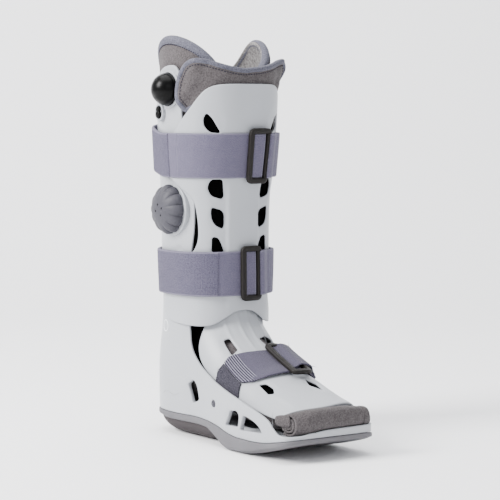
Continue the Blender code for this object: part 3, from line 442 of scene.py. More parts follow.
def swept(path, ups, section, closed=False, wave=None):
    """Points and faces of a section carried along a path. A section point is (across, up)."""
    path, ups = np.array(path, float), np.array(ups, float)
    ahead = np.roll(path, -1, 0) - np.roll(path, 1, 0)
    if not closed:
        ahead[0], ahead[-1] = path[1] - path[0], path[-1] - path[-2]
    ahead /= np.linalg.norm(ahead, axis=1, keepdims=True)
    ups = ups - ahead * (ups * ahead).sum(1, keepdims=True)
    ups /= np.linalg.norm(ups, axis=1, keepdims=True)
    across = np.cross(ahead, ups)
    section = np.array(section, float)
    count, size = len(path), len(section)
    swell = np.ones(count) if wave is None else wave(np.arange(count))
    points = (path[:, None] + across[:, None] * section[None, :, :1] * swell[:, None, None]
              + ups[:, None] * section[None, :, 1:] * swell[:, None, None]).reshape(-1, 3)
    faces = ring_faces(count, size, closed)
    return points, faces if closed else faces + end_faces(count, size)


def oval_section(half_across, half_up, sides=12, square=2.0):
    """An oval outline for a swept piece."""
    angles = np.linspace(0, math.tau, sides, endpoint=False)
    x, y = oval(angles, half_across, half_up, square)
    return np.stack([x, y], -1)


def lathed(place, face, profile, segments=96, wave=None):
    """Points and faces of a body turned about an axis along X, from its face outwards to -X."""
    angles = np.linspace(0, math.tau, segments, endpoint=False)
    points = []
    for radius, rise in profile:
        reach = radius * (np.ones(segments) if wave is None else wave(angles, radius, rise))
        points.append(stacked(-face - rise, place[0] + reach * np.cos(angles),
                              place[1] + reach * np.sin(angles)))
    faces = ring_faces(len(profile), segments) + end_faces(len(profile), segments)
    return np.vstack(points), faces


def several(*parts):
    """Several point and face lists as one."""
    points, faces, first = [], [], 0
    for part_points, part_faces in parts:
        points.append(np.asarray(part_points, float))
        faces += [tuple(i + first for i in face) for face in part_faces]
        first += len(part_points)
    return np.vstack(points), faces


# Shader groups

def shader_group(name, inputs, outputs):
    """An empty shader group with named sockets, and its input and output nodes."""
    tree = bpy.data.node_groups.new(name, 'ShaderNodeTree')
    for label, kind, value in inputs:
        socket = tree.interface.new_socket(label, in_out='INPUT', socket_type=kind)
        if value is not None:
            socket.default_value = value
    for label, kind in outputs:
        tree.interface.new_socket(label, in_out='OUTPUT', socket_type=kind)
    return tree, tree.nodes.new('NodeGroupInput'), tree.nodes.new('NodeGroupOutput')


def math_node(tree, operation, first, second=None):
    """A Math node on sockets or plain numbers."""
    node = tree.nodes.new('ShaderNodeMath')
    node.operation = operation
    for socket, value in zip(node.inputs, (first, second)):
        if isinstance(value, (int, float)):
            socket.default_value = value
        elif value is not None:
            tree.links.new(value, socket)
    return node.outputs[0]


def noise_node(tree, place, scale, detail=3.0, roughness=0.5):
    """A noise pattern read at a place."""
    node = tree.nodes.new('ShaderNodeTexNoise')
    tree.links.new(place, node.inputs['Vector'])
    for label, value in (('Scale', scale), ('Detail', detail), ('Roughness', roughness)):
        if isinstance(value, (int, float)):
            node.inputs[label].default_value = value
        else:
            tree.links.new(value, node.inputs[label])
    return node.outputs['Fac']


def mixed(tree, share, first, second):
    """A colour between two others."""
    node = tree.nodes.new('ShaderNodeMix')
    node.data_type = 'RGBA'
    tree.links.new(share, node.inputs['Factor'])
    for socket, value in ((node.inputs[6], first), (node.inputs[7], second)):
        if isinstance(value, tuple):
            socket.default_value = value
        else:
            tree.links.new(value, socket)
    return node.outputs[2]


def make_grain():
    """Fine mould grain with broad, faint blotches."""
    tree, given, out = shader_group(
        "mould_grain", (("Place", 'NodeSocketVector', None), ("Grain per metre", 'NodeSocketFloat', 900.0),
                        ("Blotch per metre", 'NodeSocketFloat', 14.0)),
        (("Blotch", 'NodeSocketFloat'), ("Height", 'NodeSocketFloat')))
    fine = noise_node(tree, given.outputs[0], given.outputs[1], 2.0)
    broad = noise_node(tree, given.outputs[0], given.outputs[2], 4.0, 0.6)
    tree.links.new(broad, out.inputs["Blotch"])
    tree.links.new(fine, out.inputs["Height"])
    return tree


def make_nap():
    """Brushed pile: clumped specks and a soft height."""
    tree, given, out = shader_group(
        "brushed_pile", (("Place", 'NodeSocketVector', None), ("Loops per metre", 'NodeSocketFloat', 700.0)),
        (("Speck", 'NodeSocketFloat'), ("Height", 'NodeSocketFloat')))
    fine = noise_node(tree, given.outputs[0], given.outputs[1], 4.0, 0.7)
    clump = noise_node(tree, given.outputs[0], math_node(tree, 'MULTIPLY', given.outputs[1], 0.22), 3.0, 0.6)
    both = math_node(tree, 'ADD', math_node(tree, 'MULTIPLY', fine, 0.86),
                     math_node(tree, 'MULTIPLY', clump, 0.14))
    sharp = tree.nodes.new('ShaderNodeMapRange')
    sharp.inputs['From Min'].default_value = 0.36
    sharp.inputs['From Max'].default_value = 0.64
    tree.links.new(both, sharp.inputs['Value'])
    tree.links.new(sharp.outputs['Result'], out.inputs["Speck"])
    tree.links.new(both, out.inputs["Height"])
    return tree


def make_weave():
    """Webbing: threads that cross on the flat cloth, with uneven yarn."""
    tree, given, out = shader_group(
        "webbing_weave", (("Flat", 'NodeSocketVector', None),
                          ("Threads per metre", 'NodeSocketFloat', 900.0),
                          ("Unevenness", 'NodeSocketFloat', 0.5)),
        (("Speck", 'NodeSocketFloat'), ("Height", 'NodeSocketFloat')))
    split = tree.nodes.new('ShaderNodeSeparateXYZ')
    tree.links.new(given.outputs[0], split.inputs[0])
    turns = math_node(tree, 'MULTIPLY', given.outputs[1], math.pi)
    waves = [math_node(tree, 'SINE', math_node(tree, 'MULTIPLY', split.outputs[axis], turns))
             for axis in (0, 1)]
    threads = math_node(tree, 'MULTIPLY', *waves)
    yarn = noise_node(tree, given.outputs[0], math_node(tree, 'MULTIPLY', given.outputs[1], 0.9), 4.0, 0.7)
    slub = noise_node(tree, given.outputs[0], math_node(tree, 'MULTIPLY', given.outputs[1], 0.12), 2.0)
    speck = math_node(tree, 'ADD', math_node(tree, 'MULTIPLY', yarn, 0.93),
                      math_node(tree, 'MULTIPLY', slub, 0.07))
    uneven = math_node(tree, 'MULTIPLY', yarn, given.outputs[2])
    sharp = tree.nodes.new('ShaderNodeMapRange')
    sharp.inputs['From Min'].default_value = 0.37
    sharp.inputs['From Max'].default_value = 0.63
    tree.links.new(speck, sharp.inputs['Value'])
    tree.links.new(sharp.outputs['Result'], out.inputs["Speck"])
    tree.links.new(math_node(tree, 'ADD', math_node(tree, 'MULTIPLY', threads, 0.5), uneven),
                   out.inputs["Height"])
    return tree


GRAIN, NAP, WEAVE = make_grain(), make_nap(), make_weave()


def finish(name, group, values, first, second, roughness, relief, spread=0.04, on_flat=False, **plain):
    """A material whose colour, roughness and relief come from one of the shader groups."""
    material = bpy.data.materials.new(name)
    material.use_nodes = True
    tree = material.node_tree
    shader = tree.nodes["Principled BSDF"]
    if on_flat:
        place = tree.nodes.new('ShaderNodeUVMap')
        place.uv_map = "flat"
        source = place.outputs['UV']
    else:
        source = tree.nodes.new('ShaderNodeTexCoord').outputs['Object']
    pattern = tree.nodes.new('ShaderNodeGroup')
    pattern.node_tree = group
    tree.links.new(source, pattern.inputs[0])
    for socket, value in zip(list(pattern.inputs)[1:], values):
        socket.default_value = value
    tree.links.new(mixed(tree, pattern.outputs[0], (*first, 1.0), (*second, 1.0)),
                   shader.inputs['Base Color'])
    rough = math_node(tree, 'ADD', math_node(tree, 'MULTIPLY', pattern.outputs[0], spread),
                      roughness - spread / 2)
    tree.links.new(rough, shader.inputs['Roughness'])
    bump = tree.nodes.new('ShaderNodeBump')
    bump.inputs['Distance'].default_value = relief
    bump.inputs['Strength'].default_value = 1.0
    tree.links.new(pattern.outputs[1], bump.inputs['Height'])
    tree.links.new(bump.outputs['Normal'], shader.inputs['Normal'])
    for label, value in plain.items():
        shader.inputs[label.replace("_", " ")].default_value = value
    return material


shell_plastic = finish("shell_plastic", GRAIN, (1100.0, 12.0), (0.315, 0.327, 0.350), (0.375, 0.388, 0.410),
                       0.40, 0.00003, Specular_IOR_Level=0.35, Coat_Weight=0.05, Coat_Roughness=0.25)
white_mark = finish("white_mark", GRAIN, (1100.0, 12.0), (0.72, 0.73, 0.75), (0.80, 0.81, 0.83), 0.5,
                    0.00003)
sole_rubber = finish("sole_rubber", GRAIN, (1500.0, 30.0), (0.090, 0.088, 0.095), (0.128, 0.125, 0.134),
                     0.62, 0.00008, Specular_IOR_Level=0.2)
block_rubber = finish("block_rubber", GRAIN, (1500.0, 30.0), (0.038, 0.033, 0.035), (0.058, 0.051, 0.053),
                      0.75, 0.00008, Specular_IOR_Level=0.1)
pile_cloth = finish("pile_cloth", NAP, (620.0,), (0.042, 0.037, 0.038), (0.100, 0.090, 0.092), 0.95, 0.0004,
                    Sheen_Weight=0.10, Sheen_Roughness=0.5, Specular_IOR_Level=0.05)
loop_cloth = finish("loop_cloth", NAP, (330.0,), (0.070, 0.064, 0.064), (0.260, 0.250, 0.248), 0.95, 0.0007,
                    Sheen_Weight=0.10, Specular_IOR_Level=0.05)
edge_cloth = finish("edge_cloth", NAP, (700.0,), (0.050, 0.050, 0.068), (0.125, 0.125, 0.155), 0.9, 0.0004,
                    Sheen_Weight=0.10, Specular_IOR_Level=0.05)
# Near-black cloth without gloss: the shin pad's black cloth, and the same colour painted as shade on the
# bootie.
black_cloth_and_shade = finish("black_cloth_and_shade", NAP, (500.0,), (0.0006, 0.0006, 0.0006), (0.002, 0.002, 0.002), 0.95,
                     0.0003, Specular_IOR_Level=0.0)
webbing = finish("webbing", WEAVE, (1100.0, 0.6), (0.060, 0.054, 0.088), (0.140, 0.129, 0.182), 0.85,
                 0.00025, on_flat=True, Sheen_Weight=0.10, Specular_IOR_Level=0.08)
webbing_dark = finish("webbing_dark", WEAVE, (800.0, 0.8), (0.045, 0.041, 0.068), (0.112, 0.104, 0.148),
                      0.85, 0.0003, on_flat=True, Sheen_Weight=0.10, Specular_IOR_Level=0.08)
selvedge = finish("selvedge", WEAVE, (1100.0, 0.6), (0.092, 0.085, 0.125), (0.175, 0.165, 0.218), 0.85,
                  0.0002, on_flat=True, Sheen_Weight=0.10, Specular_IOR_Level=0.08)
webbing_foot = finish("webbing_foot", WEAVE, (1100.0, 0.6), (0.040, 0.036, 0.056), (0.086, 0.079, 0.112),
                      0.85, 0.00025, on_flat=True, Sheen_Weight=0.08, Specular_IOR_Level=0.08)
elastic_cloth = finish("elastic_cloth", WEAVE, (700.0, 0.9), (0.018, 0.017, 0.024), (0.056, 0.053, 0.066),
                       0.9, 0.0003, on_flat=True, Specular_IOR_Level=0.05)
thread = finish("thread", NAP, (2500.0,), (0.016, 0.015, 0.022), (0.036, 0.034, 0.046), 0.8, 0.0001,
                Specular_IOR_Level=0.05)
pale_thread = finish("pale_thread", NAP, (2500.0,), (0.165, 0.158, 0.215), (0.260, 0.250, 0.310), 0.8,
                     0.0001)
ring_plastic = finish("ring_plastic", GRAIN, (1300.0, 60.0), (0.0075, 0.0066, 0.0060),
                      (0.014, 0.012, 0.011), 0.5, 0.00005, Specular_IOR_Level=0.15)
bulb_rubber = finish("bulb_rubber", GRAIN, (600.0, 60.0), (0.0004, 0.0004, 0.0004),
                     (0.0010, 0.0010, 0.0010), 0.30, 0.00002, Specular_IOR_Level=0.10)
dial_plastic = finish("dial_plastic", GRAIN, (1300.0, 60.0), (0.038, 0.037, 0.046), (0.058, 0.057, 0.068),
                      0.5, 0.00005, Specular_IOR_Level=0.2)
# Black plastic of the button; the same near-black paints the shade in the dial's pin holes.
black_plastic_and_hole_shade = finish("black_plastic_and_hole_shade", GRAIN, (1300.0, 60.0), (0.0006, 0.0006, 0.0006),
                       (0.002, 0.002, 0.002), 0.4, 0.00003, Specular_IOR_Level=0.08)


def make_stitch_tree():
    """A row of sunk stitches along a line."""
    tree = bpy.data.node_groups.new("stitch_row", 'GeometryNodeTree')
    tree.interface.new_socket("Line", in_out='INPUT', socket_type='NodeSocketGeometry')
    for label, value in (("Spacing", 0.0034), ("Stitch length", 0.0024), ("Thread radius", 0.0004)):
        socket = tree.interface.new_socket(label, in_out='INPUT', socket_type='NodeSocketFloat')
        socket.default_value = value
    tree.interface.new_socket("Material", in_out='INPUT', socket_type='NodeSocketMaterial')
    tree.interface.new_socket("Stitches", in_out='OUTPUT', socket_type='NodeSocketGeometry')
    given, out = tree.nodes.new('NodeGroupInput'), tree.nodes.new('NodeGroupOutput')
    make, link = tree.nodes.new, tree.links.new
    curve, even = make('GeometryNodeMeshToCurve'), make('GeometryNodeResampleCurve')
    even.mode = 'LENGTH'
    spread, ball = make('GeometryNodeInstanceOnPoints'), make('GeometryNodeMeshIcoSphere')
    ball.inputs['Subdivisions'].default_value = 2
    ball.inputs['Radius'].default_value = 0.5
    along, turn = make('GeometryNodeInputTangent'), make('FunctionNodeAlignRotationToVector')
    turn.axis = 'X'
    size, thick = make('ShaderNodeCombineXYZ'), make('ShaderNodeMath')
    thick.operation = 'MULTIPLY'
    thick.inputs[1].default_value = 2.0
    whole, soft = make('GeometryNodeRealizeInstances'), make('GeometryNodeSetShadeSmooth')
    dress = make('GeometryNodeSetMaterial')
    link(given.outputs["Line"], curve.inputs[0])
    link(curve.outputs[0], even.inputs['Curve'])
    link(given.outputs["Spacing"], even.inputs['Length'])
    link(even.outputs[0], spread.inputs['Points'])
    link(ball.outputs[0], spread.inputs['Instance'])
    link(along.outputs[0], turn.inputs['Vector'])
    link(turn.outputs[0], spread.inputs['Rotation'])
    link(given.outputs["Stitch length"], size.inputs[0])
    link(given.outputs["Thread radius"], thick.inputs[0])
    link(thick.outputs[0], size.inputs[1])
    link(thick.outputs[0], size.inputs[2])
    link(size.outputs[0], spread.inputs['Scale'])
    link(spread.outputs[0], whole.inputs[0])
    link(whole.outputs[0], soft.inputs[0])
    link(soft.outputs[0], dress.inputs[0])
    link(given.outputs["Material"], dress.inputs['Material'])
    link(dress.outputs[0], out.inputs[0])
    return tree


STITCHES = make_stitch_tree()


def stitched(name, lines, material=thread, spacing=0.0034, length=0.0024, radius=0.00042):
    """One piece with a row of stitches along each line of points."""
    points, edges = [], []
    for line in lines:
        first = len(points)
        points += [tuple(p) for p in line]
        edges += [(first + i, first + i + 1) for i in range(len(line) - 1)]
    data = bpy.data.meshes.new(name)
    data.from_pydata(points, edges, [])
    piece = bpy.data.objects.new(name, data)
    bpy.context.scene.collection.objects.link(piece)
    row = piece.modifiers.new("row", 'NODES')
    row.node_group = STITCHES
    for label, value in (("Spacing", spacing), ("Stitch length", length), ("Thread radius", radius),
                         ("Material", material)):
        row[STITCHES.interface.items_tree[label].identifier] = value
    settle(piece)
    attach(piece, "boot")
    return piece


def carried(piece, material_slot, *nodes, body="boot"):
    """Puts a piece on its body and the solids that it stands for."""
    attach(piece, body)
    if nodes:
        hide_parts(*nodes)
    return piece


# Rear shell
SHELL_EDGE = (
    (-0.0150, 0.4225), (-0.0225, 0.4130), (-0.0235, 0.3960), (-0.0235, 0.3620), (-0.0270, 0.3500),
    (-0.0300, 0.3100), (-0.0342, 0.2800), (-0.0335, 0.2400), (-0.0290, 0.2140), (-0.0255, 0.1700),
    (-0.0240, 0.1320), (-0.0256, 0.1160), (-0.0325, 0.1015), (-0.0415, 0.0926), (-0.0525, 0.0845),
    (-0.0700, 0.0768), (-0.0826, 0.0715), (-0.1055, 0.0655), (-0.1361, 0.0590), (-0.1693, 0.0512),
    (-0.1836, 0.0470))
TOE_CORNER_NEAR = ((-0.0030, 0.0425), (0.0035, 0.0352), (0.0085, 0.0305))
TOE_CORNER_FAR = ((-0.0030, 0.0425), (0.0040, 0.0370), (0.0105, 0.0345))
# The lip's top across the toe: x, height
lip_rows = smooth_table((
    (-0.060, 0.0290), (-0.043, 0.0294), (-0.026, 0.0312), (-0.008, 0.0332), (0.012, 0.0337),
    (0.060, 0.0340)))
SHELL_WINDOWS = (
    ((-0.0245, 0.0625), (-0.0365, 0.0690), (-0.0440, 0.0625), (-0.0490, 0.0470), (-0.0345, 0.0415)),
    ((-0.1170, 0.0445), (-0.1325, 0.0462), (-0.1375, 0.0420), (-0.1350, 0.0285), (-0.1060, 0.0268)),
    ((-0.1450, 0.0430), (-0.1655, 0.0395), (-0.1760, 0.0350), (-0.1825, 0.0285), (-0.1380, 0.0258)))
# Slanted scoops that lead into the windows, and a notch by the lower strap: middle y and z, half length,
# half height, depth
SCOOPS = ((-0.0330, 0.0560, 0.0150, 0.0180, 0.0012), (-0.1180, 0.0350, 0.0140, 0.0140, 0.0012),
          (-0.1520, 0.0340, 0.0170, 0.0130, 0.0012), (-0.0110, 0.2166, 0.0070, 0.0034, 0.0012))
FLANGE = 0.0026
# Crease round the heel above the floor: y, height
HEEL_CREASE = ((0.0307, 0.0450), (0.0219, 0.0500), (0.0162, 0.0492), (0.0072, 0.0462), (-0.0007, 0.0472),
               (-0.0080, 0.0505))


def from_line(u, v, line):
    """Distance of each place from an open line on the flat."""
    best = np.full(np.shape(u), 9.0)
    for (ax, ay), (bx, by) in zip(line, line[1:]):
        along = (u - ax) * (bx - ax) + (v - ay) * (by - ay)
        share = np.clip(along / ((bx - ax) ** 2 + (by - ay) ** 2), 0, 1)
        best = np.minimum(best, np.hypot(u - ax - share * (bx - ax), v - ay - share * (by - ay)))
    return best


def shell_relief(u, v):
    """The shell's outside: shallow scoops at the windows and a notch by the lower strap."""
    return -hollows(BACK_RUN - np.abs(u), v, SCOOPS, 1.0, 0.30)


def shell_inside(u, v):
    """The shell's inside: a deep flange goes inwards round each window of the tray."""
    y = BACK_RUN - np.abs(u)
    near = np.full(np.shape(u), 9.0)
    for window in SHELL_WINDOWS:
        near = np.minimum(near, from_line(y, v, window + window[:1]))
    return -SHELL_WALL - FLANGE * ramp(near, 0.0050, 0.0022)


def inset_plan(runs, inset):
    """The shell's outline seen from above, at the foot's edge, moved inwards."""
    height = np.full(len(runs), FOOT_EDGE_HEIGHT)
    base, normal = shell_surface(runs, height), outward(shell_surface, runs, height)
    flat = normal[:, :2] / np.linalg.norm(normal[:, :2], axis=1, keepdims=True)
    return base[:, :2] - flat * inset[:, None]


def make_shell():
    """The hard shell with its windows, and the floor under the foot."""
    half = [(0.0, 0.4020), (0.45 * BACK_RUN, 0.4020), (0.70 * BACK_RUN, 0.4080)]
    half += [tuple(shell_place(0.0120, 0.4205)), (BACK_RUN + 0.0050, TAB_TOP)]
    half += [(BACK_RUN - y, z) for y, z in SHELL_EDGE]
    lip = SHELL_END - TOE_RUN * np.linspace(0.76, 0.0, 24)
    halves = []
    for side, corner in ((1, TOE_CORNER_NEAR), (-1, TOE_CORNER_FAR)):
        x = shell_surface(lip * side, 0.032)[:, 0]
        toe = list(zip(lip, lip_rows(x)[0]))
        turn = [(BACK_RUN + SIDE_RUN + run, z) for run, z in corner]
        halves.append(eased(half + turn + toe[:1]) + toe[1:])
    runs = SHELL_END * (1 - np.arange(121) / 120)
    bottom = [(run, float(sole_line(shell_surface(run, 0.02)[1]))) for run in runs]
    right = [np.array(p, float) for p in halves[0] + bottom]
    left = [np.array((-p[0], p[1])) for p in reversed(halves[1] + bottom)][1:-1]
    holes = []
    for window in SHELL_WINDOWS:
        loop = rounded([(BACK_RUN - y, z) for y, z in window], WINDOW_ROUNDING)
        holes += [loop, [p * (-1, 1) for p in reversed(loop)]]
    hole = [shell_place(RIVET_PLACE[0] + 0.0041 * math.cos(a), RIVET_PLACE[1] + 0.0041 * math.sin(a))
            for a in np.linspace(0, math.tau, 20, endpoint=False)]
    points, faces, flat = wrapped_wall(shell_surface, right + left, holes + [hole], shell_inside,
                                       shell_relief, 0.0024, SHELL_END)
    wall = piece_from("shell_body", points, faces, shell_plastic, flat, bevel=WALL_BEVEL)
    carried(wall, "shell_plastic", "rear_shell")
    runs = np.linspace(-SHELL_END, SHELL_END, 121)[:-1]
    plan = inset_plan(runs, np.full(120, 0.0012))
    rings = [np.column_stack([plan * share, sole_line(plan[:, 1] * share) + height])
             for share, height in ((0.5, 0.0004), (1.0, 0.0004), (1.0, 0.0034), (0.5, 0.0034))]
    hubs = [ring.mean(0, keepdims=True).repeat(len(runs), 0) for ring in (rings[0], rings[3])]
    rings = hubs[:1] + rings + hubs[1:]
    floor = piece_from("shell_floor", np.vstack(rings), ring_faces(len(rings), len(runs)), shell_plastic)
    carried(floor, "shell_plastic")


def side_face(height, rise):
    """Distance from the middle plane of a flat seat on the shell's side."""
    return float(envelope(height)[0]) + rise


def seat_profile(radius, root, lift=0.0, edge=0.0012):
    """A round seat with a soft edge, from inside the wall to its face."""
    arc = [(radius - edge + edge * math.cos(a), lift - edge + edge * math.sin(a))
           for a in np.linspace(0, math.pi / 2, 6)]
    return [(radius, -root)] + arc + [(radius * 0.5, lift), (radius * 0.1, lift)]


def make_seats():
    """Round seats for the dial, the bulb and the valve, the crease round the heel and the ankle's ring mark."""
    dial_face = side_face(DIAL_PLACE[1], SEAT_RISE)
    bulb_face = side_face(BULB_PLACE[1], SEAT_RISE)
    valve_face = side_face(VALVE_PLACE[1], VALVE_RISE)
    collar = [(0.0082, -0.0070), (0.0082, -0.0012), (0.0078, -0.0002), (0.0071, 0.0), (0.0064, -0.0003),
              (0.0060, -0.0012), (0.0060, -0.0048), (0.0010, -0.0048)]
    small = [(0.0060, -0.0072), (0.0060, -0.0043), (0.0056, -0.0034), (0.0046, -0.0031), (0.0010, -0.0031)]

    def oblong(angles, radius, rise):
        return 1 / np.hypot(np.cos(angles), np.sin(angles) / 1.25)

    parts = [lathed(DIAL_PLACE, dial_face, seat_profile(DIAL_SEAT_RADIUS, 0.0085)),
             lathed(BULB_PLACE, bulb_face, seat_profile(BULB_RADIUS + 0.0026, 0.0050)),
             lathed(VALVE_PLACE, valve_face, collar, 64, oblong),
             lathed((VALVE_PLACE[0] - 0.0075, VALVE_PLACE[1] + 0.0082), valve_face, small, 40)]
    angles = np.linspace(0, math.tau, 60, endpoint=False)
    spots = np.array([shell_place(0.0245 + 0.0066 * math.cos(a), 0.1245 + 0.0064 * math.sin(a))
                      for a in angles])
    normal = outward(shell_surface, spots[:, 0], spots[:, 1])
    mark = swept(shell_surface(spots[:, 0], spots[:, 1]), normal, oval_section(0.0006, 0.0004, 8),
                 closed=True)
    carried(piece_from("ankle_mark", *mark, white_mark), "shell_plastic")
    spots = np.array([shell_place(*spot) for spot in evenly(eased(HEEL_CREASE, 2), 60)])
    normal = outward(shell_surface, spots[:, 0], spots[:, 1])

    def fade(index):
        return np.sin((index + 0.5) / 60 * math.pi) ** 0.5

    parts.append(swept(shell_surface(spots[:, 0], spots[:, 1]), normal, oval_section(0.0009, 0.0006, 8),
                       wave=fade))
    seats = piece_from("shell_seats", *several(*parts), shell_plastic)
    carried(seats, "shell_plastic")


# Front panel: angle from the shin, height
PANEL_EDGE = (
    (0, 0.4020), (24, 0.4020), (34, 0.4005), (42, 0.3960), (49, 0.3868), (57, 0.3745), (65, 0.3640),
    (72, 0.3555), (80, 0.3440), (91, 0.3280), (94, 0.3120), (90, 0.2976), (72, 0.2857), (57, 0.2745),
    (55, 0.2680), (52.5, 0.2560), (51, 0.2380), (51.5, 0.2266), (54.5, 0.2174), (60, 0.2110), (80, 0.2060),
    (103, 0.2020), (110, 0.1900), (112, 0.1500), (109, 0.1390), (103, 0.1345), (90, 0.1315), (62, 0.1292),
    (44, 0.1290), (33, 0.1318), (24, 0.1378), (14, 0.1443), (6, 0.1466), (0, 0.1470))
PANEL_WINDOWS = (
    ((41, 0.3700), (44, 0.3640), (43.5, 0.3550), (38, 0.3480), (28, 0.3470), (36, 0.3640)),
    ((26, 0.2955), (34, 0.2955), (37, 0.2920), (39, 0.2850), (35, 0.2765), (27, 0.2730), (24.5, 0.2760)),
    ((35.5, 0.2640), (36, 0.2560), (35, 0.2490), (31, 0.2430), (26, 0.2395), (24, 0.2430), (24, 0.2560),
     (27, 0.2605)),
    ((35, 0.2285), (35.5, 0.2130), (24, 0.2130), (26, 0.2200), (30, 0.2290), (33, 0.2305)))
# Shifts of the windows' edges, from the shin outwards: near side's outer, far side's inner and outer edge
PANEL_WINDOW_SHIFTS = ((0, 0, 8), (2.5, -2, 4), (2, -3, 2), (2, -4, 1))
# Soft dishes round the windows: angle, height, half width, half height, depth
PANEL_DISHES = (
    (37, 0.358, 12, 0.017, 0.0005), (31, 0.285, 11, 0.0175, 0.0005), (30, 0.252, 10, 0.017, 0.0005),
    (30, 0.220, 10, 0.016, 0.0005))
PANEL_OUT = LAYER_GAP + PANEL_WALL
PANEL_STEP = 0.0016


def panel_relief(u, v):
    """The panel's outside: a raised flat band down the shin and a soft dish round each window."""
    angle = np.degrees(np.abs(u) / CALF_HALF_WIDTH)
    step = ramp(angle, 19.0, 22.5) * ramp(v, 0.300, 0.275) * ramp(v, 0.140, 0.165)
    return PANEL_OUT - PANEL_STEP * step - hollows(angle, v, PANEL_DISHES, 1.12, 0.82)


def make_panel():
    """The shin panel with its windows."""
    half = eased([leg_place(*row) for row in PANEL_EDGE])
    outline = mirrored(half)
    holes = []
    for window, (near_out, far_in, far_out) in zip(PANEL_WINDOWS, PANEL_WINDOW_SHIFTS):
        middle = sum(row[0] for row in window) / len(window)
        near = rounded([leg_place(angle + near_out * (angle > middle), height) for angle, height in window],
                       WINDOW_ROUNDING)
        far = rounded([leg_place(angle + (far_out if angle > middle else far_in), height)
                       for angle, height in window], WINDOW_ROUNDING)
        holes += [far, [p * (-1, 1) for p in reversed(near)]]
    points, faces, flat = wrapped_wall(leg_surface, outline, holes, LAYER_GAP, panel_relief, 0.0022)
    panel = piece_from("panel_body", points, faces, shell_plastic, flat, bevel=WALL_BEVEL)
    carried(panel, "shell_plastic", "front_panel")


# Foot cover: run from the toe end, angle from the ridge
COVER_EDGE = (
    (0.2050, 46), (0.1930, 47), (0.1820, 50), (0.1740, 60), (0.1660, 70), (0.1540, 77), (0.1400, 77),
    (0.1250, 76))
COVER_EDGE_ANGLE, COVER_SWEEP_NEAR, COVER_SWEEP_FAR = 74, 0.027, 0.014
COVER_WINDOWS = (
    ((-27.4, 0.1436), (-38.2, 0.1400), (-36.5, 0.1560), (-35.5, 0.1610), (-27.6, 0.1610)),
    ((-37.8, 0.0765), (-38.5, 0.0636), (-45.2, 0.0555), (-49.6, 0.0609), (-45.0, 0.0815)),
    ((11.5, 0.1545), (26, 0.1600), (44, 0.1590), (44, 0.1440), (18, 0.1350)),
    ((16, 0.0500), (22, 0.0664), (36, 0.0540), (33, 0.0360)))

# Soft dishes round the windows: angle, run, half width, half length, depth
COVER_DISHES = (
    (-33, 0.151, 8.5, 0.017, 0.0006), (-43, 0.068, 9, 0.017, 0.0006), (27, 0.152, 18, 0.012, 0.0006),
    (25, 0.050, 14, 0.017, 0.0006))
COVER_FLUTES = (-25.5, -7.0, 7.0, 25.5)


def cover_relief(u, v):
    """The cover's outside: flutes along the instep and a step down to its sides."""
    angle = np.degrees(u / COVER_SPREAD)
    flutes = sum(np.exp(-((angle - line) / 1.5) ** 2) for line in COVER_FLUTES) * ramp(v, 0.126, 0.146)
    sides = ramp(np.abs(angle), 47, 51) * ramp(v, 0.090, 0.070) * ramp(v, 0.012, 0.030)
    return 0.0012 * flutes - 0.0009 * sides - hollows(angle, v, COVER_DISHES, 1.15, 0.8)


def make_cover():
    """The instep cover with its windows."""
    near = [cover_place(0, COVER_TOP), cover_place(40, COVER_TOP)]
    near += [cover_place(angle, run) for run, angle in COVER_EDGE if run < COVER_TOP]
    halves = []
    for sweep in (COVER_SWEEP_FAR, COVER_SWEEP_NEAR):
        front = [cover_place(COVER_EDGE_ANGLE * share, sweep * share ** 2.2)
                 for share in np.linspace(1, 0, 12)]
        halves.append(eased(near + front, 2))
    outline = halves[0] + [p * (-1, 1) for p in reversed(halves[1])][1:-1]
    holes = [rounded([cover_place(*row) for row in window], COVER_ROUNDING) for window in COVER_WINDOWS]
    points, faces, flat = wrapped_wall(cover_surface, outline, holes, -PANEL_WALL, cover_relief, 0.0024)
    cover = piece_from("cover_body", points, faces, shell_plastic, flat, bevel=WALL_BEVEL)
    carried(cover, "shell_plastic", "foot_cover")


# Padded bootie: middle y and z, tilt, half width, half depth, squareness
liner_foot = smooth_table([(index,) + row for index, row in enumerate((
    (-0.1800, 0.0425, 90, 0.0430, 0.0170, 2.3), (-0.1550, 0.0460, 90, 0.0445, 0.0225, 2.3),
    (-0.1300, 0.0500, 87, 0.0450, 0.0262, 2.3), (-0.1050, 0.0560, 80, 0.0450, 0.0295, 2.3),
    (-0.0800, 0.0625, 68, 0.0440, 0.0330, 2.3), (-0.0560, 0.0690, 54, 0.0440, 0.0430, 2.3),
    (-0.0120, 0.0755, 36, 0.0445, 0.0680, 2.4), (0.0010, 0.1080, 18, 0.0445, 0.0590, 2.4)))])
LINER_INSET_FRONT, LINER_INSET_BACK = 0.0056, 0.0046
ANKLE_EASE, ANKLE_EASE_TOP, ANKLE_EASE_RUN = 0.0068, 0.2100, 0.0450
LINER_SIDES = 120
LOBE_DIP_BACK, LOBE_DIP_FRONT = 0.4060, 0.4130
FAR_LOBE_TOP = 0.4515
AROUND = np.linspace(0, math.tau, LINER_SIDES, endpoint=False)


def foot_ring(index, inward):
    """A ring of the bootie's foot."""
    y, z, tilt, half_width, half_depth, square = liner_foot(index)
    x, d = oval(AROUND, half_width - inward, half_depth - inward, square)
    return stacked(x, y + d * math.cos(math.radians(tilt)), z - d * math.sin(math.radians(tilt)))


def leg_ring(height, inward):
    """A ring of the bootie's leg."""
    ease = min(max((ANKLE_EASE_TOP - height) / ANKLE_EASE_RUN, 0.0), 1.0) * ANKLE_EASE
    angle = math.pi - AROUND
    front = np.clip(np.cos(angle) * 1.6 + 0.2, 0.0, 1.0)
    inset = LINER_INSET_BACK + (LINER_INSET_FRONT + ease - LINER_INSET_BACK) * front + inward
    heights = np.full(LINER_SIDES, height)
    return (leg_surface(angle * CALF_HALF_WIDTH, heights)
            - outward(leg_surface, angle * CALF_HALF_WIDTH, heights) * inset[:, None])


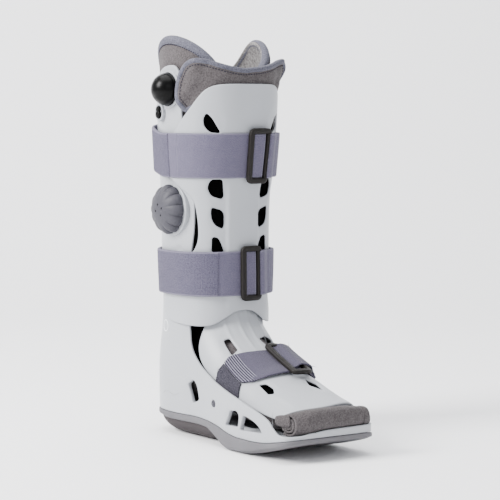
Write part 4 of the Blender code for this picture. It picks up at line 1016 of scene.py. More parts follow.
def collar_ring(base, share, lower=0.0):
    """A ring of the collar above its base ring: two lobes that lean in, lower at the back and shin."""
    far = np.sin(AROUND) > 0
    turn = AROUND - math.radians(10) * np.maximum(np.sin(AROUND), 0)
    at_back = np.cos(turn) > 0
    away = np.abs(np.degrees(np.arccos(np.clip(np.abs(np.sin(turn)), 0, 1))))
    lobe = np.maximum(1 - (away / np.where(at_back, 74, 64)) ** 2.0, 0) ** np.where(at_back, 1.15, 0.72)
    lobe = np.where(far, np.abs(np.sin(turn)) ** np.where(at_back, 4.0, 2.0), lobe)
    dip = np.where(at_back, LOBE_DIP_BACK, LOBE_DIP_FRONT)
    top = np.where(far, FAR_LOBE_TOP, COLLAR_TOP)
    rise = dip + (top - dip) * lobe - base[:, 2] - lower
    side = np.abs(np.sin(turn)) ** 3
    lean = side * share ** 3 * np.where(far, -0.0100, -0.0010)
    slide = side * share * np.where(far, -0.0040, 0.0055)
    return stacked(base[:, 0] + lean, base[:, 1] + slide, base[:, 2] + rise * share)


def puckered(ring, seed, amount=0.0005):
    """Small dents and swells of soft cloth."""
    phase = AROUND * 5 + seed
    return ring + stacked(np.sin(phase) * amount, np.cos(phase * 1.3) * amount, np.sin(phase * 0.7) * amount)


def make_bootie():
    """The bootie with its patches of painted shade, its bound collar and its stitches."""
    walls = []
    for wall in (0.0, 1.0):
        rings = [foot_ring(index, LINER_FOOT_WALL * wall) for index in np.linspace(0, 7, 43)]
        heights = list(np.linspace(0.140, COLLAR_BASE, 26))
        rings += [puckered(leg_ring(height, LINER_WALL * wall), height * 90) for height in heights]
        top = leg_ring(COLLAR_BASE, LINER_WALL * wall)
        rings += [collar_ring(top, share, 0.0030) for share in np.linspace(0.06, 1.0, 18)]
        walls.append(rings)
    middle = (walls[0][-1] + walls[1][-1]) / 2
    across = walls[0][-1] - middle
    cap = [middle + across * math.cos(a) + stacked(0.0, 0.0, 0.0030 * math.sin(a))
           for a in np.linspace(0, math.pi, 9)[1:-1]]
    rings = walls[0] + cap + walls[1][::-1]
    faces = ring_faces(len(rings), LINER_SIDES, True)
    bootie = piece_from("bootie", np.vstack(rings), faces, pile_cloth)
    bootie.data.materials.append(loop_cloth)
    bootie.data.materials.append(black_cloth_and_shade)
    inner_from = len(walls[0]) + 4
    for polygon in bootie.data.polygons:
        ring = min(polygon.vertices) // LINER_SIDES
        polygon.material_index = 1 if ring >= inner_from else 0
        # Painted shade: near-black patches beside the ankle and over the toe, behind the cover's windows, where
        # the cover's shade falls on the bootie.
        place = polygon.center
        shade_beside_ankle = 0.080 < place.z < 0.148 and -0.078 < place.y < -0.015 and abs(place.x) > 0.033
        if shade_beside_ankle or (-0.180 < place.y < -0.122 and place.z > 0.052):
            polygon.material_index = 2
    carried(bootie, "bootie_cloth", "liner")
    # bound edge
    path, down = ((collar_ring(leg_ring(COLLAR_BASE, 0.0), share)
                   + collar_ring(leg_ring(COLLAR_BASE, LINER_WALL), share)) / 2 for share in (1.0, 0.9))
    ups = path - down
    fine = evenly(path, 420, closed=True)
    order = np.linspace(0, LINER_SIDES, 420, endpoint=False)
    ups = np.stack([np.interp(order, np.arange(LINER_SIDES + 1), np.append(ups[:, a], ups[0, a]))
                    for a in range(3)], -1)
    half = LINER_WALL / 2 + 0.0010
    bound = []
    for a in np.linspace(-0.15 * math.pi, 1.15 * math.pi, 13):
        bound.append((half * math.cos(a), 0.0045 * math.sin(a) - 0.0035))
    bound += [(-half * 0.92, -0.0085), (half * 0.92, -0.0085)]
    edge = piece_from("collar_binding", *swept(fine, ups, bound, closed=True, wave=ribs_along), edge_cloth)
    carried(edge, "strap_webbing")
    lines = []
    for wall, push in ((0.0, 0.0005), (LINER_WALL, -0.0005)):
        base = leg_ring(COLLAR_BASE, wall)
        upper, lower = collar_ring(base, 1.0), collar_ring(base, 0.8)
        away = (upper - lower) / np.linalg.norm(upper - lower, axis=1, keepdims=True)
        line = upper - away * 0.0095
        flat_out = line * (1, 1, 0)
        line = line + flat_out / np.linalg.norm(flat_out, axis=1, keepdims=True) * push
        lines.append(np.vstack([line, line[:1]]))
    stitched("collar_stitches", lines, thread, 0.0034, 0.0027, 0.00062)


# Front flap, folded over the collar: angle, height
FLAP_FAR_EDGE = (
    (0, 0.3740), (55, 0.3740), (62, 0.3680), (66, 0.3780), (67, 0.3890), (66.5, 0.4060), (63, 0.4210),
    (56, 0.4290), (47, 0.4305), (34, 0.4260), (18, 0.4210), (0, 0.4190))
FLAP_NEAR_EDGE = (
    (-5, 0.4186), (-19, 0.4210), (-36, 0.4270), (-47, 0.4307), (-57, 0.4286), (-64, 0.4215), (-69, 0.4060),
    (-71.6, 0.3890), (-69, 0.3780), (-63, 0.3690), (-55, 0.3740))
flap_step = smooth_table((
    (0.3600, 0.0810), (0.3745, 0.0715), (0.3868, 0.0610), (0.3960, 0.0535), (0.4030, 0.0490),
    (0.4300, 0.0430)))


def flap_inside(u, v):
    """Distance of the flap's inside from the envelope."""
    share = ramp(np.abs(u) - flap_step(v)[0], 0.0, 0.016)
    flare = np.clip((v - 0.404) / 0.026, 0.0, 1.0) ** 1.5
    reach = 0.0060 * flare * np.clip(u / 0.03, 0.0, 1.0)
    reach = reach + 0.0090 * ramp(u, 0.060, 0.076) * ramp(v, 0.395, 0.425)
    over_seat = 0.0024 * ramp(-u, 0.066, 0.077) * ramp(np.abs(v - 0.394), 0.030, 0.018)
    return -FLAP_WALL - GAP + share * (FLAP_WALL + GAP + LAYER_GAP) + reach + over_seat


def make_flap():
    """The padded flap over the panel's top, its binding and its stitches."""
    top = eased([leg_place(*row) for row in FLAP_FAR_EDGE + FLAP_NEAR_EDGE], 4)
    tree = flat_tree(top)

    def outside(u, v):
        near = np.array([tree.find((a, b, 0.0))[2] for a, b in zip(u, v)])
        swell = 0.0011 * ramp(near, 0.0, 0.012) - 0.0007 * np.exp(-((near - 0.0075) / 0.0012) ** 2)
        soft = 0.0004 * np.sin(u * 260 + v * 90) * np.sin(v * 310 - u * 70)
        clear = ramp(v, 0.398, 0.412) + ramp(np.abs(u) - flap_step(v)[0], 0.004, 0.016)
        return flap_inside(u, v) + FLAP_WALL + np.clip(clear, 0, 1) * (swell + soft)

    points, faces, flat = wrapped_wall(leg_surface, top, [], flap_inside, outside, 0.0022)
    flap = piece_from("flap_pad", points, faces, pile_cloth, flat, bevel=0.0012)
    carried(flap, "bootie_cloth", "front_flap")
    # bound edge and its stitches, which follow the flap's free edge
    edge = evenly(top, 420)
    ahead = np.gradient(edge, axis=0)
    inward = np.stack([ahead[:, 1], -ahead[:, 0]], -1)
    inward /= np.linalg.norm(inward, axis=1, keepdims=True)
    middle = int(np.argmax(edge[:, 1]))
    if ((edge[middle] + inward[middle] * 0.01)[1]) > edge[middle][1]:
        inward = -inward
    spots = edge + inward * 0.0022
    normal = outward(leg_surface, spots[:, 0], spots[:, 1])
    lift = flap_inside(spots[:, 0], spots[:, 1]) + FLAP_WALL / 2
    path = leg_surface(spots[:, 0], spots[:, 1]) + normal * lift[:, None]
    band = swept(path, normal, oval_section(0.0031, FLAP_WALL / 2 + 0.0012, 14, 2.6), wave=ribs_along)
    carried(piece_from("flap_binding", *band, edge_cloth), "strap_webbing")
    spots = (edge + inward * 0.0068)[90:-12]
    normal = outward(leg_surface, spots[:, 0], spots[:, 1])
    lift = outside(spots[:, 0], spots[:, 1]) + 0.0001
    line = leg_surface(spots[:, 0], spots[:, 1]) + normal * lift[:, None]
    stitched("flap_stitches", [line], thread, 0.0034, 0.0027, 0.0006)


# Shin pad: angle, height
PAD_EDGE = ((0, 0.3730), (52, 0.3730), (54, 0.3000), (75, 0.2900), (75, 0.2100), (0, 0.2100))


def make_shin_pad():
    """The black quilted pad behind the panel's windows."""
    half = eased([leg_place(*row) for row in PAD_EDGE], 1)
    outline = mirrored(half)

    def sunk(u):
        return -LAYER_GAP - 0.0003 - 0.0026 * ramp(np.abs(u) / CALF_HALF_WIDTH, 0.87, 1.04)

    def quilted(u, v):
        return sunk(u) - 0.0004 * np.abs(np.sin(u * 220)) * np.abs(np.sin(v * 220))

    def back(u, v):
        return sunk(u) - 0.0020

    points, faces, flat = wrapped_wall(leg_surface, outline, [], back, quilted, 0.0040)
    pad = piece_from("pad_cloth_sheet", points, faces, black_cloth_and_shade, flat)
    carried(pad, "pad_cloth", "shin_pad")


# Straps

def strap_rise(u, v):
    """Distance of a calf strap's inside from the envelope; the upper strap stands off at its near back."""
    degrees = np.degrees(np.asarray(u) / CALF_HALF_WIDTH)
    upper = np.asarray(v) > 0.25
    share = ramp(np.abs(degrees), np.where(upper, 92, 113), np.where(upper, 118, 139))
    stand_off = 0.0030 * upper * ramp(-degrees, 98, 128) * ramp(-degrees, 180, 160)
    return PANEL_OUT * (1 - share) + LAYER_GAP + stand_off


def climb(degrees, height):
    """Rise of the upper strap towards the back of the calf."""
    return 0.0085 * ramp(np.abs(degrees), 92, 150) * (height > 0.25)


def band_points(u, low, high, inner, thick, bend=0.0, columns=17, ribs=0.0):
    """Rings of a strap's section round the leg, with soft selvedges."""
    across = np.concatenate([[0.0, 0.012, 0.03], np.linspace(0.06, 0.94, columns - 6), [0.97, 0.988, 1.0]])
    edge = np.minimum(across, 1 - across)
    fullness = np.clip(edge / 0.03, 0, 1) ** 0.5
    rings = []
    for run in u:
        lift = climb(math.degrees(run / CALF_HALF_WIDTH), low)
        v = low + (high - low) * across + lift
        place = np.full(columns, run)
        base, normal = leg_surface(place, v), outward(leg_surface, place, v)
        rise = inner(place, v)
        body = thick * (0.50 + 0.50 * fullness) + ribs * math.sin(run / 0.0018 * math.pi) ** 2 * fullness
        top = base + normal * (rise + thick / 2 + body / 2 + bend * np.sin(across * math.pi))[:, None]
        bottom = base + normal * (rise + thick / 2 - body / 2)[:, None]
        flat = np.column_stack([place, v])
        rings.append((np.vstack([top, bottom[::-1]]), np.vstack([flat, flat[::-1]])))
    return rings


def strap_piece(name, u, low, high, inner, thick, material, closed, bend=0.0, ribs=0.0, edging=None):
    """A strap round the leg. Its two selvedges may have a cloth of their own."""
    rings = band_points(u, low, high, inner, thick, bend, ribs=ribs)
    size, count = len(rings[0][0]), len(rings)
    faces = ring_faces(count, size, closed)
    if not closed:
        faces += end_faces(count, size)
    points, flat = np.vstack([r[0] for r in rings]), np.vstack([r[1] for r in rings])
    strap = piece_from(name, points, faces, material, flat)
    if edging:
        strap.data.materials.append(edging)
        lanes = set(range(3)) | set(range(size // 2 - 3, size // 2 + 3)) | set(range(size - 3, size))
        for polygon in strap.data.polygons:
            spots = sorted(i % size for i in polygon.vertices)
            polygon.material_index = 1 if len(spots) == 4 and set(spots) <= lanes else 0
    return strap


def across_line(angle, low, high, rise, margin=0.0006):
    """A line of points across a strap."""
    v = np.linspace(low + margin, high - margin, 40) + climb(angle, low)
    u = np.full(40, math.radians(angle) * CALF_HALF_WIDTH)
    return leg_surface(u, v) + outward(leg_surface, u, v) * rise(u, v)[:, None]


# Calf straps: strap, ring, height, the ring's angle, angles of the seams on the near side
CALF_STRAPS = (
    ("upper_strap", "upper_ring", UPPER_STRAP_HEIGHT, 11.0, (71, 84)),
    ("lower_strap", "lower_ring", LOWER_STRAP_HEIGHT, 6.0, (31,)))
LOOP_END_ANGLE = 120


def make_calf_strap(label, height, ring_angle, seams):
    """A calf strap: its band, ribbed tail, fold at the ring, loop over the ring's bar, and stitches."""
    low, high = height - STRAP_WIDTH / 2, height + STRAP_WIDTH / 2
    scale = math.radians(1) * CALF_HALF_WIDTH
    around = np.linspace(-math.pi, math.pi, 260, endpoint=False) * CALF_HALF_WIDTH
    band = strap_piece(label + "_band", around, low, high, strap_rise, STRAP_WALL, webbing, True, 0.0002,
                       edging=selvedge)
    carried(band, "strap_webbing", label)

    def above(u, v):
        return strap_rise(u, v) + STRAP_WALL + 0.0001

    back = np.linspace(-176, -seams[-1], 400) * scale
    layer = strap_piece(label + "_tail", back, low + 0.0004, high - 0.0004, above, 0.0009, webbing_dark,
                        False, 0.0, 0.0006, selvedge)
    carried(layer, "strap_webbing")
    fold = np.linspace(ring_angle - 8.0, ring_angle + 6.6, 30) * scale
    flap = strap_piece(label + "_fold", fold, low + 0.0008, high - 0.0008, above, 0.0024, webbing, False,
                       0.0004, edging=selvedge)
    carried(flap, "strap_webbing")
    loop = np.linspace(ring_angle + 9.6, ring_angle + LOOP_END_ANGLE, 90) * scale

    def over_bar(u, v):
        angle = np.asarray(u) / scale - ring_angle
        return above(u, v) + 0.0054 * ramp(angle, 25, 12.4)

    wrap = strap_piece(label + "_loop", loop, low + 0.0002, high - 0.0002, over_bar, 0.0018, webbing, False,
                       0.0002, edging=selvedge)
    carried(wrap, "strap_webbing")
    lines = [across_line(-angle, low, high, lambda u, v: strap_rise(u, v) + STRAP_WALL + 0.0003)
             for angle in seams]
    lines.append(across_line(ring_angle + 5.6, low, high, lambda u, v: above(u, v) + 0.0027, 0.0012))
    lines.append(across_line(ring_angle + 28, low, high, lambda u, v: above(u, v) + 0.0021, 0.0010))
    stitched(label + "_stitches", lines, pale_thread, 0.0026, 0.0019, 0.00028)


def ring_path(surface, middle, rise, width, height, radius=0.0034):
    """The middle line of a ring's bar on a surface, and its outward directions."""
    corners = [middle + np.array((sx * width / 2, sy * height / 2))
               for sx, sy in ((-1, -1), (1, -1), (1, 1), (-1, 1))]
    spots = evenly(rounded(corners, radius, 8), 110, closed=True)
    normal = outward(surface, spots[:, 0], spots[:, 1])
    return surface(spots[:, 0], spots[:, 1]) + normal * rise, normal


def make_ring(label, surface, middle, rise, outer_height=RING_OUTER_HEIGHT):
    """A flat moulded ring with a rounded bar."""
    path, normal = ring_path(surface, middle, rise + 0.0022, RING_OUTER_WIDTH - RING_BAR,
                             outer_height - RING_BAR)
    section = oval_section(RING_BAR / 2 + 0.0003, 0.0025, 20, 4.5)
    carried(piece_from(label + "_bar", *swept(path, normal, section, closed=True), ring_plastic),
            "ring_plastic", label)


# Instep strap and elastic on the cover: angle from the ridge, run from the toe end
FOOT_STRAP_EDGE = (
    (62, 0.0840), (30, 0.0780), (0, 0.0770), (-22, 0.0790), (-36, 0.0830), (-47, 0.0885), (-56, 0.1000),
    (-52, 0.1355), (-43, 0.1380), (-30, 0.1355), (-14, 0.1310), (4, 0.1290), (30, 0.1300), (62, 0.1340))
ELASTIC_EDGE = ((-56.3, 0.1000), (-72, 0.0905), (-76, 0.1290), (-62, 0.1350), (-52.4, 0.1362))
FOOT_RING_PLACE = (17, 0.0995)
# Ridges across the strap's near end: first, step, rows of thread, and the end line as run and angle
RIDGE_START, RIDGE_STEP, RIDGE_ROWS = 0.0011, 0.0023, 7
NEAR_END_RUNS, NEAR_END_ANGLES = (0.0784, 0.1000, 0.1355, 0.1400), (-58.4, -56, -52, -51.5)


def near_end_distance(u, v):
    """Distance on the flat from the strap's slanted near end."""
    start, end = cover_place(-56, 0.1000), cover_place(-52, 0.1355)
    along = (end - start) / np.linalg.norm(end - start)
    return (u - start[0]) * along[1] - (v - start[1]) * along[0]


def make_foot_straps():
    """The instep strap, its elastic, its fold and loop, and its ring."""
    def ribbed(u, v):
        far = near_end_distance(u, v)
        ridges = np.abs(np.sin((far - RIDGE_START) / RIDGE_STEP * math.pi))
        ridges = ridges * ramp(far, 0.0175, 0.0150) * ramp(far, 0.0, 0.001)
        swell = 0.0022 * ramp(v, 0.100, 0.082) * ramp(np.abs(u), 0.052, 0.020)
        return LAYER_GAP + STRAP_WALL + 0.0008 * ridges + swell

    def lifted(u, v):
        return LAYER_GAP + 0.0020 * ramp(v, 0.100, 0.082) * ramp(np.abs(u), 0.052, 0.020)

    outline = [cover_place(*row) for row in reversed(FOOT_STRAP_EDGE)]
    points, faces, flat = wrapped_wall(cover_surface, rounded(outline, 0.002, 3), [], lifted, ribbed, 0.0012)
    strap = piece_from("foot_strap_band", points, faces, webbing_foot, flat, bevel=0.0005)
    carried(strap, "strap_webbing", "foot_strap")
    outline = [cover_place(*row) for row in reversed(ELASTIC_EDGE)]

    def corded(u, v):
        return LAYER_GAP + ELASTIC_WALL + 0.00025 * np.sin(near_end_distance(u, v) * 2600)

    points, faces, flat = wrapped_wall(cover_surface, outline, [], LAYER_GAP, corded, 0.0010)
    elastic = piece_from("foot_elastic_band", points, faces, elastic_cloth, flat, bevel=0.0004)
    carried(elastic, "elastic_webbing", "foot_elastic")
    band = np.array([cover_place(*row) for row in FOOT_STRAP_EDGE])
    # The dark thread rows in the ribs' valleys are their stitching and also paint their shade; the pale thread
    # rows along the crests paint the ribs' highlight.
    for label, first, lift, cloth in (("foot_strap_valley_stitches_and_shade", RIDGE_START, 0.0003, thread),
                                      ("foot_strap_ridge_highlights", RIDGE_START + RIDGE_STEP / 2, 0.0007, pale_thread)):
        lines = []
        for step in range(RIDGE_ROWS):
            v = np.linspace(0.078, 0.140, 90)
            u = np.interp(v, NEAR_END_RUNS, np.radians(NEAR_END_ANGLES) * COVER_SPREAD)
            u = u + first + RIDGE_STEP * step
            keep = within(np.column_stack([u, v]), band)
            u, v = u[keep], v[keep]
            height = LAYER_GAP + STRAP_WALL + lift
            lines.append(cover_surface(u, v) + outward(cover_surface, u, v) * height)
        stitched(label, lines, cloth, 0.0015, 0.0017, 0.00045)
    middle = cover_place(*FOOT_RING_PLACE)
    rise = 2 * LAYER_GAP + STRAP_WALL + 0.0015
    make_ring("foot_ring", cover_surface, middle, rise, RING_OUTER_HEIGHT + 0.0050)
    above = LAYER_GAP + STRAP_WALL + 0.0002
    fold = [cover_place(a, r) for a, r in ((7.9, 0.0800), (25, 0.0800), (25, 0.1285), (7.9, 0.1285))]
    loop = [cover_place(a, r) for a, r in ((10.5, 0.0790), (60, 0.0845), (60, 0.1330), (10.5, 0.1295))]

    def over(u, v):
        angle = np.degrees(u / COVER_SPREAD)
        arch = 0.0038 * ramp(angle, 12, 23) * ramp(angle, 52, 36)
        return above + 0.0030 + arch - 0.0030 * ramp(angle, 40, 56)

    def flat_on(u, v):
        return np.full_like(u, above + 0.0004)

    for label, outline, low in (("foot_fold", fold, flat_on), ("foot_loop", loop, over)):
        def high(u, v, low=low):
            return low(u, v) + 0.0019

        points, faces, flat = wrapped_wall(cover_surface, outline, [], low, high, 0.0016)
        carried(piece_from(label, points, faces, webbing_foot, flat, bevel=0.0005), "strap_webbing")


# Rolled cloth in the toe opening

ROLL_HALF_WIDTH = 0.0560
ROLL_NEAR_END = -0.90
ROLL_TOP = 0.0564
ROLL_WALL = 0.0020
ROLL_TURNS = 2.75
ROLL_DEPTH = 0.0088
ROLL_SQUARE = 2.4
ROLL_SEAM = 0.770


def roll_ring(share, count):
    """Number of the roll's ring at a place across the toe."""
    return int(round((share - ROLL_NEAR_END) / (1 - ROLL_NEAR_END) * (count - 1)))


def make_toe_roll():
    """Rolled cloth: a coiled sheet carried along the toe's front line, bound at its far end."""
    count = 100
    across = np.linspace(ROLL_NEAR_END, 1, count)
    x = across * ROLL_HALF_WIDTH
    bend = np.where(across < 0, 0.0095, 0.0050) * np.abs(across) ** 3
    droop = np.where(across < 0, 0.0062, 0.0060) * np.abs(across) ** 2.4
    top = ROLL_TOP - droop - 0.0100 * ramp(across, 0.93, 1.0)
    floor = lip_rows(x)[0] - 0.0010
    middle_y = bend - TOE_REACH + ROLL_DEPTH
    middle_z = (floor + top) / 2
    tall = (top - floor) / 2
    half_y = 0.0094 - 0.0030 * ramp(across, 0.93, 1.0)
    turns = np.linspace(0, ROLL_TURNS, 170)
    rings = []
    for i in range(count):
        outer, inner = [], []
        for turn in turns:
            shrink = 1 - 0.27 * float(ramp(turn, 0.62, 1.0)) - 0.27 * max(turn - 1.0, 0.0)
            angle = turn * math.tau + 2.6
            for line, less in ((outer, 0.0), (inner, ROLL_WALL)):
                reach = [max(half * shrink - less, 0.0005) for half in (half_y[i], tall[i])]
                ry, rz = oval(angle, *reach, ROLL_SQUARE)
                slant = 0.0090 * (0.5 - 0.5 * ry / half_y[i]) * float(ramp(across[i], -0.45, ROLL_NEAR_END))
                end = 0.0015 * float(ramp(across[i], -0.80, ROLL_NEAR_END))
                line.append((x[i] + slant - end, middle_y[i] + ry, middle_z[i] + rz))
        rings.append(outer + inner[::-1])
    size = len(rings[0])
    points = np.array(rings).reshape(-1, 3)
    faces = ring_faces(count, size)
    half = size // 2
    for ring in (0, count - 1):
        for i in range(half - 1):
            face = (ring * size + i, ring * size + i + 1, ring * size + size - 2 - i,
                    ring * size + size - 1 - i)
            faces.append(face if ring else face[::-1])
    roll = piece_from("toe_roll", points, faces, pile_cloth)
    carried(roll, "wrap_cloth", "toe_wrap")
    # band of edging round the far end, its stitches, and the folded corner at the near end
    spots = np.linspace(0.785, 0.985, 14)
    sides = np.linspace(0, math.tau, 60, endpoint=False)
    rings = []
    for out in (0.0007, 0.0):
        for share in (spots if out else spots[::-1]):
            i = roll_ring(share, count)
            puff = out * math.sin((share - spots[0]) / (spots[-1] - spots[0]) * math.pi) ** 0.5 + 0.0001
            ry, rz = oval(sides, half_y[i] + puff, tall[i] + puff, ROLL_SQUARE)
            rings.append(stacked(share * ROLL_HALF_WIDTH, middle_y[i] + ry, middle_z[i] + rz))
    faces = ring_faces(len(rings), len(sides), True)
    carried(piece_from("roll_binding", np.vstack(rings), faces, pile_cloth), "wrap_cloth")
    i = roll_ring(ROLL_SEAM, count)
    seam_turn = np.linspace(math.pi * 0.02, math.pi * 0.98, 30) + math.pi
    ry, rz = oval(seam_turn, half_y[i] + 0.0002, tall[i] + 0.0002, ROLL_SQUARE)
    # the wrap's folded corner, from under the cover's near corner to the roll
    rings = []
    for share in np.linspace(0, 1, 12):
        bow = math.sin(share * math.pi) ** 0.5
        fold_y = 0.0100 * (1 - share) + 0.0085 - TOE_REACH + ROLL_DEPTH
        half_depth = 0.0022 + 0.0030 * share + 0.0006 * bow
        half_height = 0.0045 + 0.0020 * share + 0.0010 * bow
        ry, rz = oval(sides, half_depth, half_height, 2.2)
        rings.append(stacked(-0.0550 + 0.0080 * share, fold_y + ry, 0.0445 - 0.0010 * share + rz))
    faces = ring_faces(len(rings), len(sides)) + end_faces(len(rings), len(sides))
    fold = piece_from("wrap_fold", np.vstack(rings), faces, pile_cloth)
    carried(fold, "wrap_cloth")
    seam = stacked(ROLL_SEAM * ROLL_HALF_WIDTH, middle_y[i] - np.abs(ry), middle_z[i] + rz)
    stitched("roll_stitches", [seam], thread, 0.0026, 0.0020, 0.0004)


# The button's two lobes: rise from the valve's middle, radius
BUTTON_LOBES = ((0.0034, 0.0037), (-0.0024, 0.0047))
BUTTON_SINK = 0.0009
# Pin holes in the dial, each drawn as a black disc that paints the shade inside it: distance towards the toe
# and up from its middle
DIAL_HOLES = ((0.0010, 0.0059), (0.0080, 0.0020), (-0.0030, -0.0016), (0.0062, -0.0060))
DIAL_HOLE_SECTION = ((0.0011, 0.0), (0.00125, 0.0005), (0.0012, 0.00115), (0.0003, 0.0012))


def make_controls():
    """Bulb, button, dial and rivet, each turned about its own axis."""
    bulb_face = side_face(BULB_PLACE[1], SEAT_RISE) + GAP
    rounds = [(BULB_RADIUS * 0.93, 0.0), (BULB_RADIUS + 0.0006, 0.0002), (BULB_RADIUS + 0.0008, 0.0009),
              (BULB_RADIUS, BULB_RIM)]
    rounds += [(BULB_RADIUS * math.cos(a), BULB_RIM + BULB_RADIUS * 0.98 * math.sin(a))
               for a in np.radians(np.linspace(4, 88, 26))]
    bulb = piece_from("bulb_body", *lathed(BULB_PLACE, bulb_face, rounds, 72), bulb_rubber)
    carried(bulb, "bulb_rubber", "pump_bulb")

    valve_face = side_face(VALVE_PLACE[1], VALVE_RISE)
    start = valve_face - BUTTON_SINK
    lobes = []
    for rise, radius in BUTTON_LOBES:
        knob = [(radius - 0.0004, 0.0), (radius, 0.0004), (radius, 0.0018), (radius - 0.0005, 0.0028),
                (radius - 0.0014, 0.0032), (radius * 0.45, 0.0034), (0.0004, 0.0035)]
        lobes.append(lathed((VALVE_PLACE[0], VALVE_PLACE[1] + rise), start, knob, 48))
    button = piece_from("button_body", *several(*lobes), black_plastic_and_hole_shade)
    carried(button, "button_plastic", "release_button", body="button")

    dial_face = side_face(DIAL_PLACE[1], SEAT_RISE) + GAP
    dome_height = DIAL_HEIGHT - DIAL_BAND
    dome = [(DIAL_RADIUS - 0.0014, 0.0), (DIAL_RADIUS - 0.0003, 0.0008), (DIAL_RADIUS, 0.0018),
            (DIAL_RADIUS, DIAL_BAND)]
    dome += [(DIAL_RADIUS * math.cos(a), DIAL_BAND + dome_height * math.sin(a))
             for a in np.radians(np.linspace(5, 84, 30))]

    def scalloped(angles, radius, rise):
        """Reach of the dial's edge: deep flutes between its scallops."""
        share = radius / DIAL_RADIUS
        notch = np.abs(np.cos(angles * SCALLOPS / 2)) ** 0.55
        deep = 0.11 * ramp(share, 0.35, 0.85)
        return 1 - deep * (1 - notch) * (1.0 if rise > 0.001 else 0.6)

    body = lathed(DIAL_PLACE, dial_face, dome, 240, scalloped)
    holes = []
    for ahead, up in DIAL_HOLES:
        spot = (DIAL_PLACE[0] - ahead, DIAL_PLACE[1] + up)
        rise = DIAL_BAND + dome_height * math.sin(math.acos(math.hypot(ahead, up) / DIAL_RADIUS))
        holes.append(lathed(spot, dial_face + rise - 0.0010, DIAL_HOLE_SECTION, 20))
    dial = piece_from("dial_body", *body, dial_plastic)
    carried(dial, "dial_plastic", "selector_dial", body="dial")
    # Black discs on the dome: painted shade of the pin holes.
    hole_shade_discs = piece_from("dial_hole_shade", *several(*holes), black_plastic_and_hole_shade)
    carried(hole_shade_discs, "dial_plastic", body="dial")

    wall = -float(shell_surface(BACK_RUN - RIVET_PLACE[0], RIVET_PLACE[1])[0])
    plug = [(RIVET_RADIUS, 0.0), (RIVET_RADIUS, 0.0028), (RIVET_RADIUS - 0.0006, 0.0034),
            (RIVET_RADIUS - 0.0012, 0.0030), (0.0018, 0.0024), (0.0012, 0.0034), (0.0004, 0.0036)]
    rivet = piece_from("rivet_body", *lathed(RIVET_PLACE, wall - SHELL_WALL, plug, 32), dial_plastic)
    carried(rivet, "rivet_plastic", "side_rivet")


# Section of the sole's side band, from its top: inset from the shell's edge, share of its height
BAND_SECTION = (
    (0.0045, 1.0), (0.0008, 1.0), (-0.0006, 0.97), (-0.0012, 0.88), (-0.0013, 0.70), (-0.0013, 0.22),
    (-0.0010, 0.08), (-0.0003, 0.01), (0.0006, 0.0))


def make_outsole():
    """Rubber sole: a light side band, a recessed tapering heel block and a closed underside."""
    count = 240
    runs = -SHELL_END + 2 * SHELL_END * (np.arange(count) + 0.5) / count
    y = shell_surface(runs, np.full(count, FOOT_EDGE_HEIGHT))[:, 1]
    tall = ramp(y, -0.104, -0.070)
    rings = []
    for inset, share in BAND_SECTION:
        ring = inset_plan(runs, np.full(count, inset))
        top, low = sole_line(ring[:, 1]) - GAP, band_rows(ring[:, 1])[0]
        rings.append(np.column_stack([ring, low + (top - low) * share]))
    for turn in np.radians(np.linspace(0, 90, 13)):
        inset = 0.0012 + 0.0012 * tall + (0.0060 + 0.0190 * tall) * (1 - math.cos(turn))
        ring = inset_plan(runs, inset)
        low, under = band_rows(ring[:, 1])[0], underside(ring[:, 1])
        height = under + (low - under) * (1 - math.sin(turn) ** 1.25)
        rings.append(np.column_stack([ring, np.maximum(under, height)]))
    faces = ring_faces(len(rings), count)
    points = np.vstack(rings)
    spines = []
    for ring in (0, len(rings) - 1):
        spine = stacked(rings[ring][:, 0] * 0.02, rings[ring][:, 1] * 0.97, rings[ring][:, 2])
        first = len(points)
        points = np.vstack([points, spine])
        spines.append(first)
        start = ring * count
        faces += [(start + i, start + (i + 1) % count, first + (i + 1) % count, first + i)
                  for i in range(count)]
    for first in spines:
        faces += [(first + i, first + i + 1, first + count - 2 - i, first + count - 1 - i)
                  for i in range(count // 2 - 1)]
    sole = piece_from("sole_body", points, faces, sole_rubber, weld=2e-6)
    sole.data.materials.append(block_rubber)
    for polygon in sole.data.polygons:
        place = polygon.center
        below = float(band_rows(place.y)[0]) - place.z
        polygon.material_index = 1 if below > -0.0002 and place.y > -0.092 else 0
    carried(sole, "sole_rubber", "outsole")


# Floor, lights and camera

FLOOR_FRONT, FLOOR_BACK, FLOOR_HALF_WIDTH = -3.0, 1.2, 4.0
WALL_BEND, WALL_TOP = 0.8, 3.5
# Lights: name, place, aim, width and height, power, colour
LAMPS = (
    ("key_light", (-2.3, 0.45, 1.7), (0, -0.05, 0.2), (1.1, 1.3), 190, (1.0, 0.99, 0.985)),
    ("front_light", (-0.9, -2.2, 1.3), (0, -0.05, 0.2), (1.4, 1.2), 9, (0.98, 0.985, 1.0)),
    ("top_light", (-0.2, 0.1, 2.4), (0, -0.05, 0.0), (2.0, 2.0), 75, (1.0, 1.0, 1.0)))
CAMERA_PLACE = (-1.2593, -1.9042, 0.3902)
CAMERA_DOWN, CAMERA_TURN = 4.49, -34.49
CAMERA_LENS, CAMERA_SENSOR = 142.65, 36.0


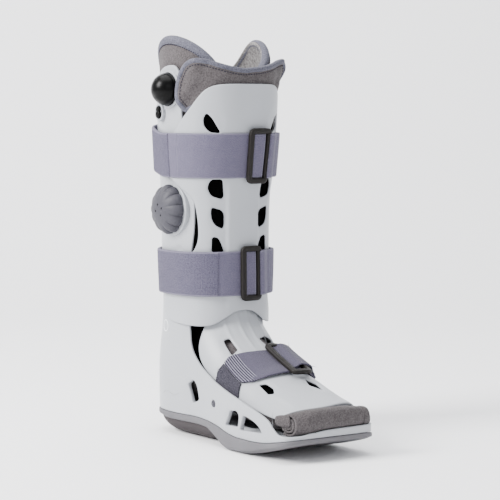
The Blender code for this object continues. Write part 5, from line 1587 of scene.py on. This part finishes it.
def make_floor():
    """A pale floor that bends up into a wall behind the boot."""
    bends = [(FLOOR_BACK + WALL_BEND * math.sin(a), WALL_BEND - WALL_BEND * math.cos(a))
             for a in np.linspace(0.1, math.pi / 2, 10)]
    points = []
    for y, z in [(FLOOR_FRONT, 0.0), (FLOOR_BACK, 0.0)] + bends + [(FLOOR_BACK + WALL_BEND, WALL_TOP)]:
        points += [(-FLOOR_HALF_WIDTH, y, z), (FLOOR_HALF_WIDTH, y, z)]
    faces = [(i, i + 1, i + 3, i + 2) for i in range(0, len(points) - 2, 2)]
    data = bpy.data.meshes.new("floor_sheet")
    data.from_pydata(points, [], faces)
    floor = bpy.data.objects.new("floor_sheet", data)
    bpy.context.scene.collection.objects.link(floor)
    for polygon in data.polygons:
        polygon.use_smooth = True
    material = bpy.data.materials.new("floor_sheet")
    material.use_nodes = True
    shader = material.node_tree.nodes["Principled BSDF"]
    shader.inputs['Base Color'].default_value = (0.93, 0.93, 0.94, 1.0)
    shader.inputs['Roughness'].default_value = 0.8
    # the wall is clear from behind, so that it hides nothing in the back views
    tree = material.node_tree
    clear, mix = tree.nodes.new('ShaderNodeBsdfTransparent'), tree.nodes.new('ShaderNodeMixShader')
    side, end = tree.nodes.new('ShaderNodeNewGeometry'), tree.nodes["Material Output"]
    tree.links.new(side.outputs['Backfacing'], mix.inputs[0])
    tree.links.new(shader.outputs[0], mix.inputs[1])
    tree.links.new(clear.outputs[0], mix.inputs[2])
    tree.links.new(mix.outputs[0], end.inputs['Surface'])
    data.materials.append(material)
    floor.location.z = -0.0002
    floor.rotation_euler.z = math.radians(-34.5)


def make_studio():
    """The surrounding light, the lamps and the camera."""
    world = bpy.data.worlds.new("studio")
    world.use_nodes = True
    world.node_tree.nodes["Background"].inputs[0].default_value = (0.95, 0.965, 1.0, 1.0)
    world.node_tree.nodes["Background"].inputs[1].default_value = 1.0
    bpy.context.scene.world = world

    for name, place, aim, size, power, color in LAMPS:
        light = bpy.data.lights.new(name, 'AREA')
        light.shape = 'RECTANGLE'
        light.size, light.size_y = size
        light.energy = power
        light.color = color
        held = bpy.data.objects.new(name, light)
        held.location = place
        held.rotation_euler = (Vector(aim) - Vector(place)).to_track_quat('-Z', 'Y').to_euler()
        bpy.context.scene.collection.objects.link(held)
    camera = bpy.data.cameras.new("camera")
    camera.lens, camera.sensor_width = CAMERA_LENS, CAMERA_SENSOR
    held = bpy.data.objects.new("camera", camera)
    held.location = CAMERA_PLACE
    held.rotation_euler = (math.radians(90 - CAMERA_DOWN), 0.0, math.radians(CAMERA_TURN))
    bpy.context.scene.collection.objects.link(held)
    bpy.context.scene.camera = held


def build():
    """Every piece, from the shell outwards, then the floor, the lights and the camera."""
    make_shell()
    make_seats()
    make_panel()
    make_cover()
    make_bootie()
    make_flap()
    make_shin_pad()
    for strap, ring, height, ring_angle, seams in CALF_STRAPS:
        make_calf_strap(strap, height, ring_angle, seams)
    rise = 3 * LAYER_GAP + PANEL_WALL + STRAP_WALL
    for strap, ring, height, ring_angle, seams in CALF_STRAPS:
        make_ring(ring, leg_surface, leg_place(ring_angle, height), rise)
    make_foot_straps()
    make_toe_roll()
    make_controls()
    make_outsole()
    make_floor()
    make_studio()


build()
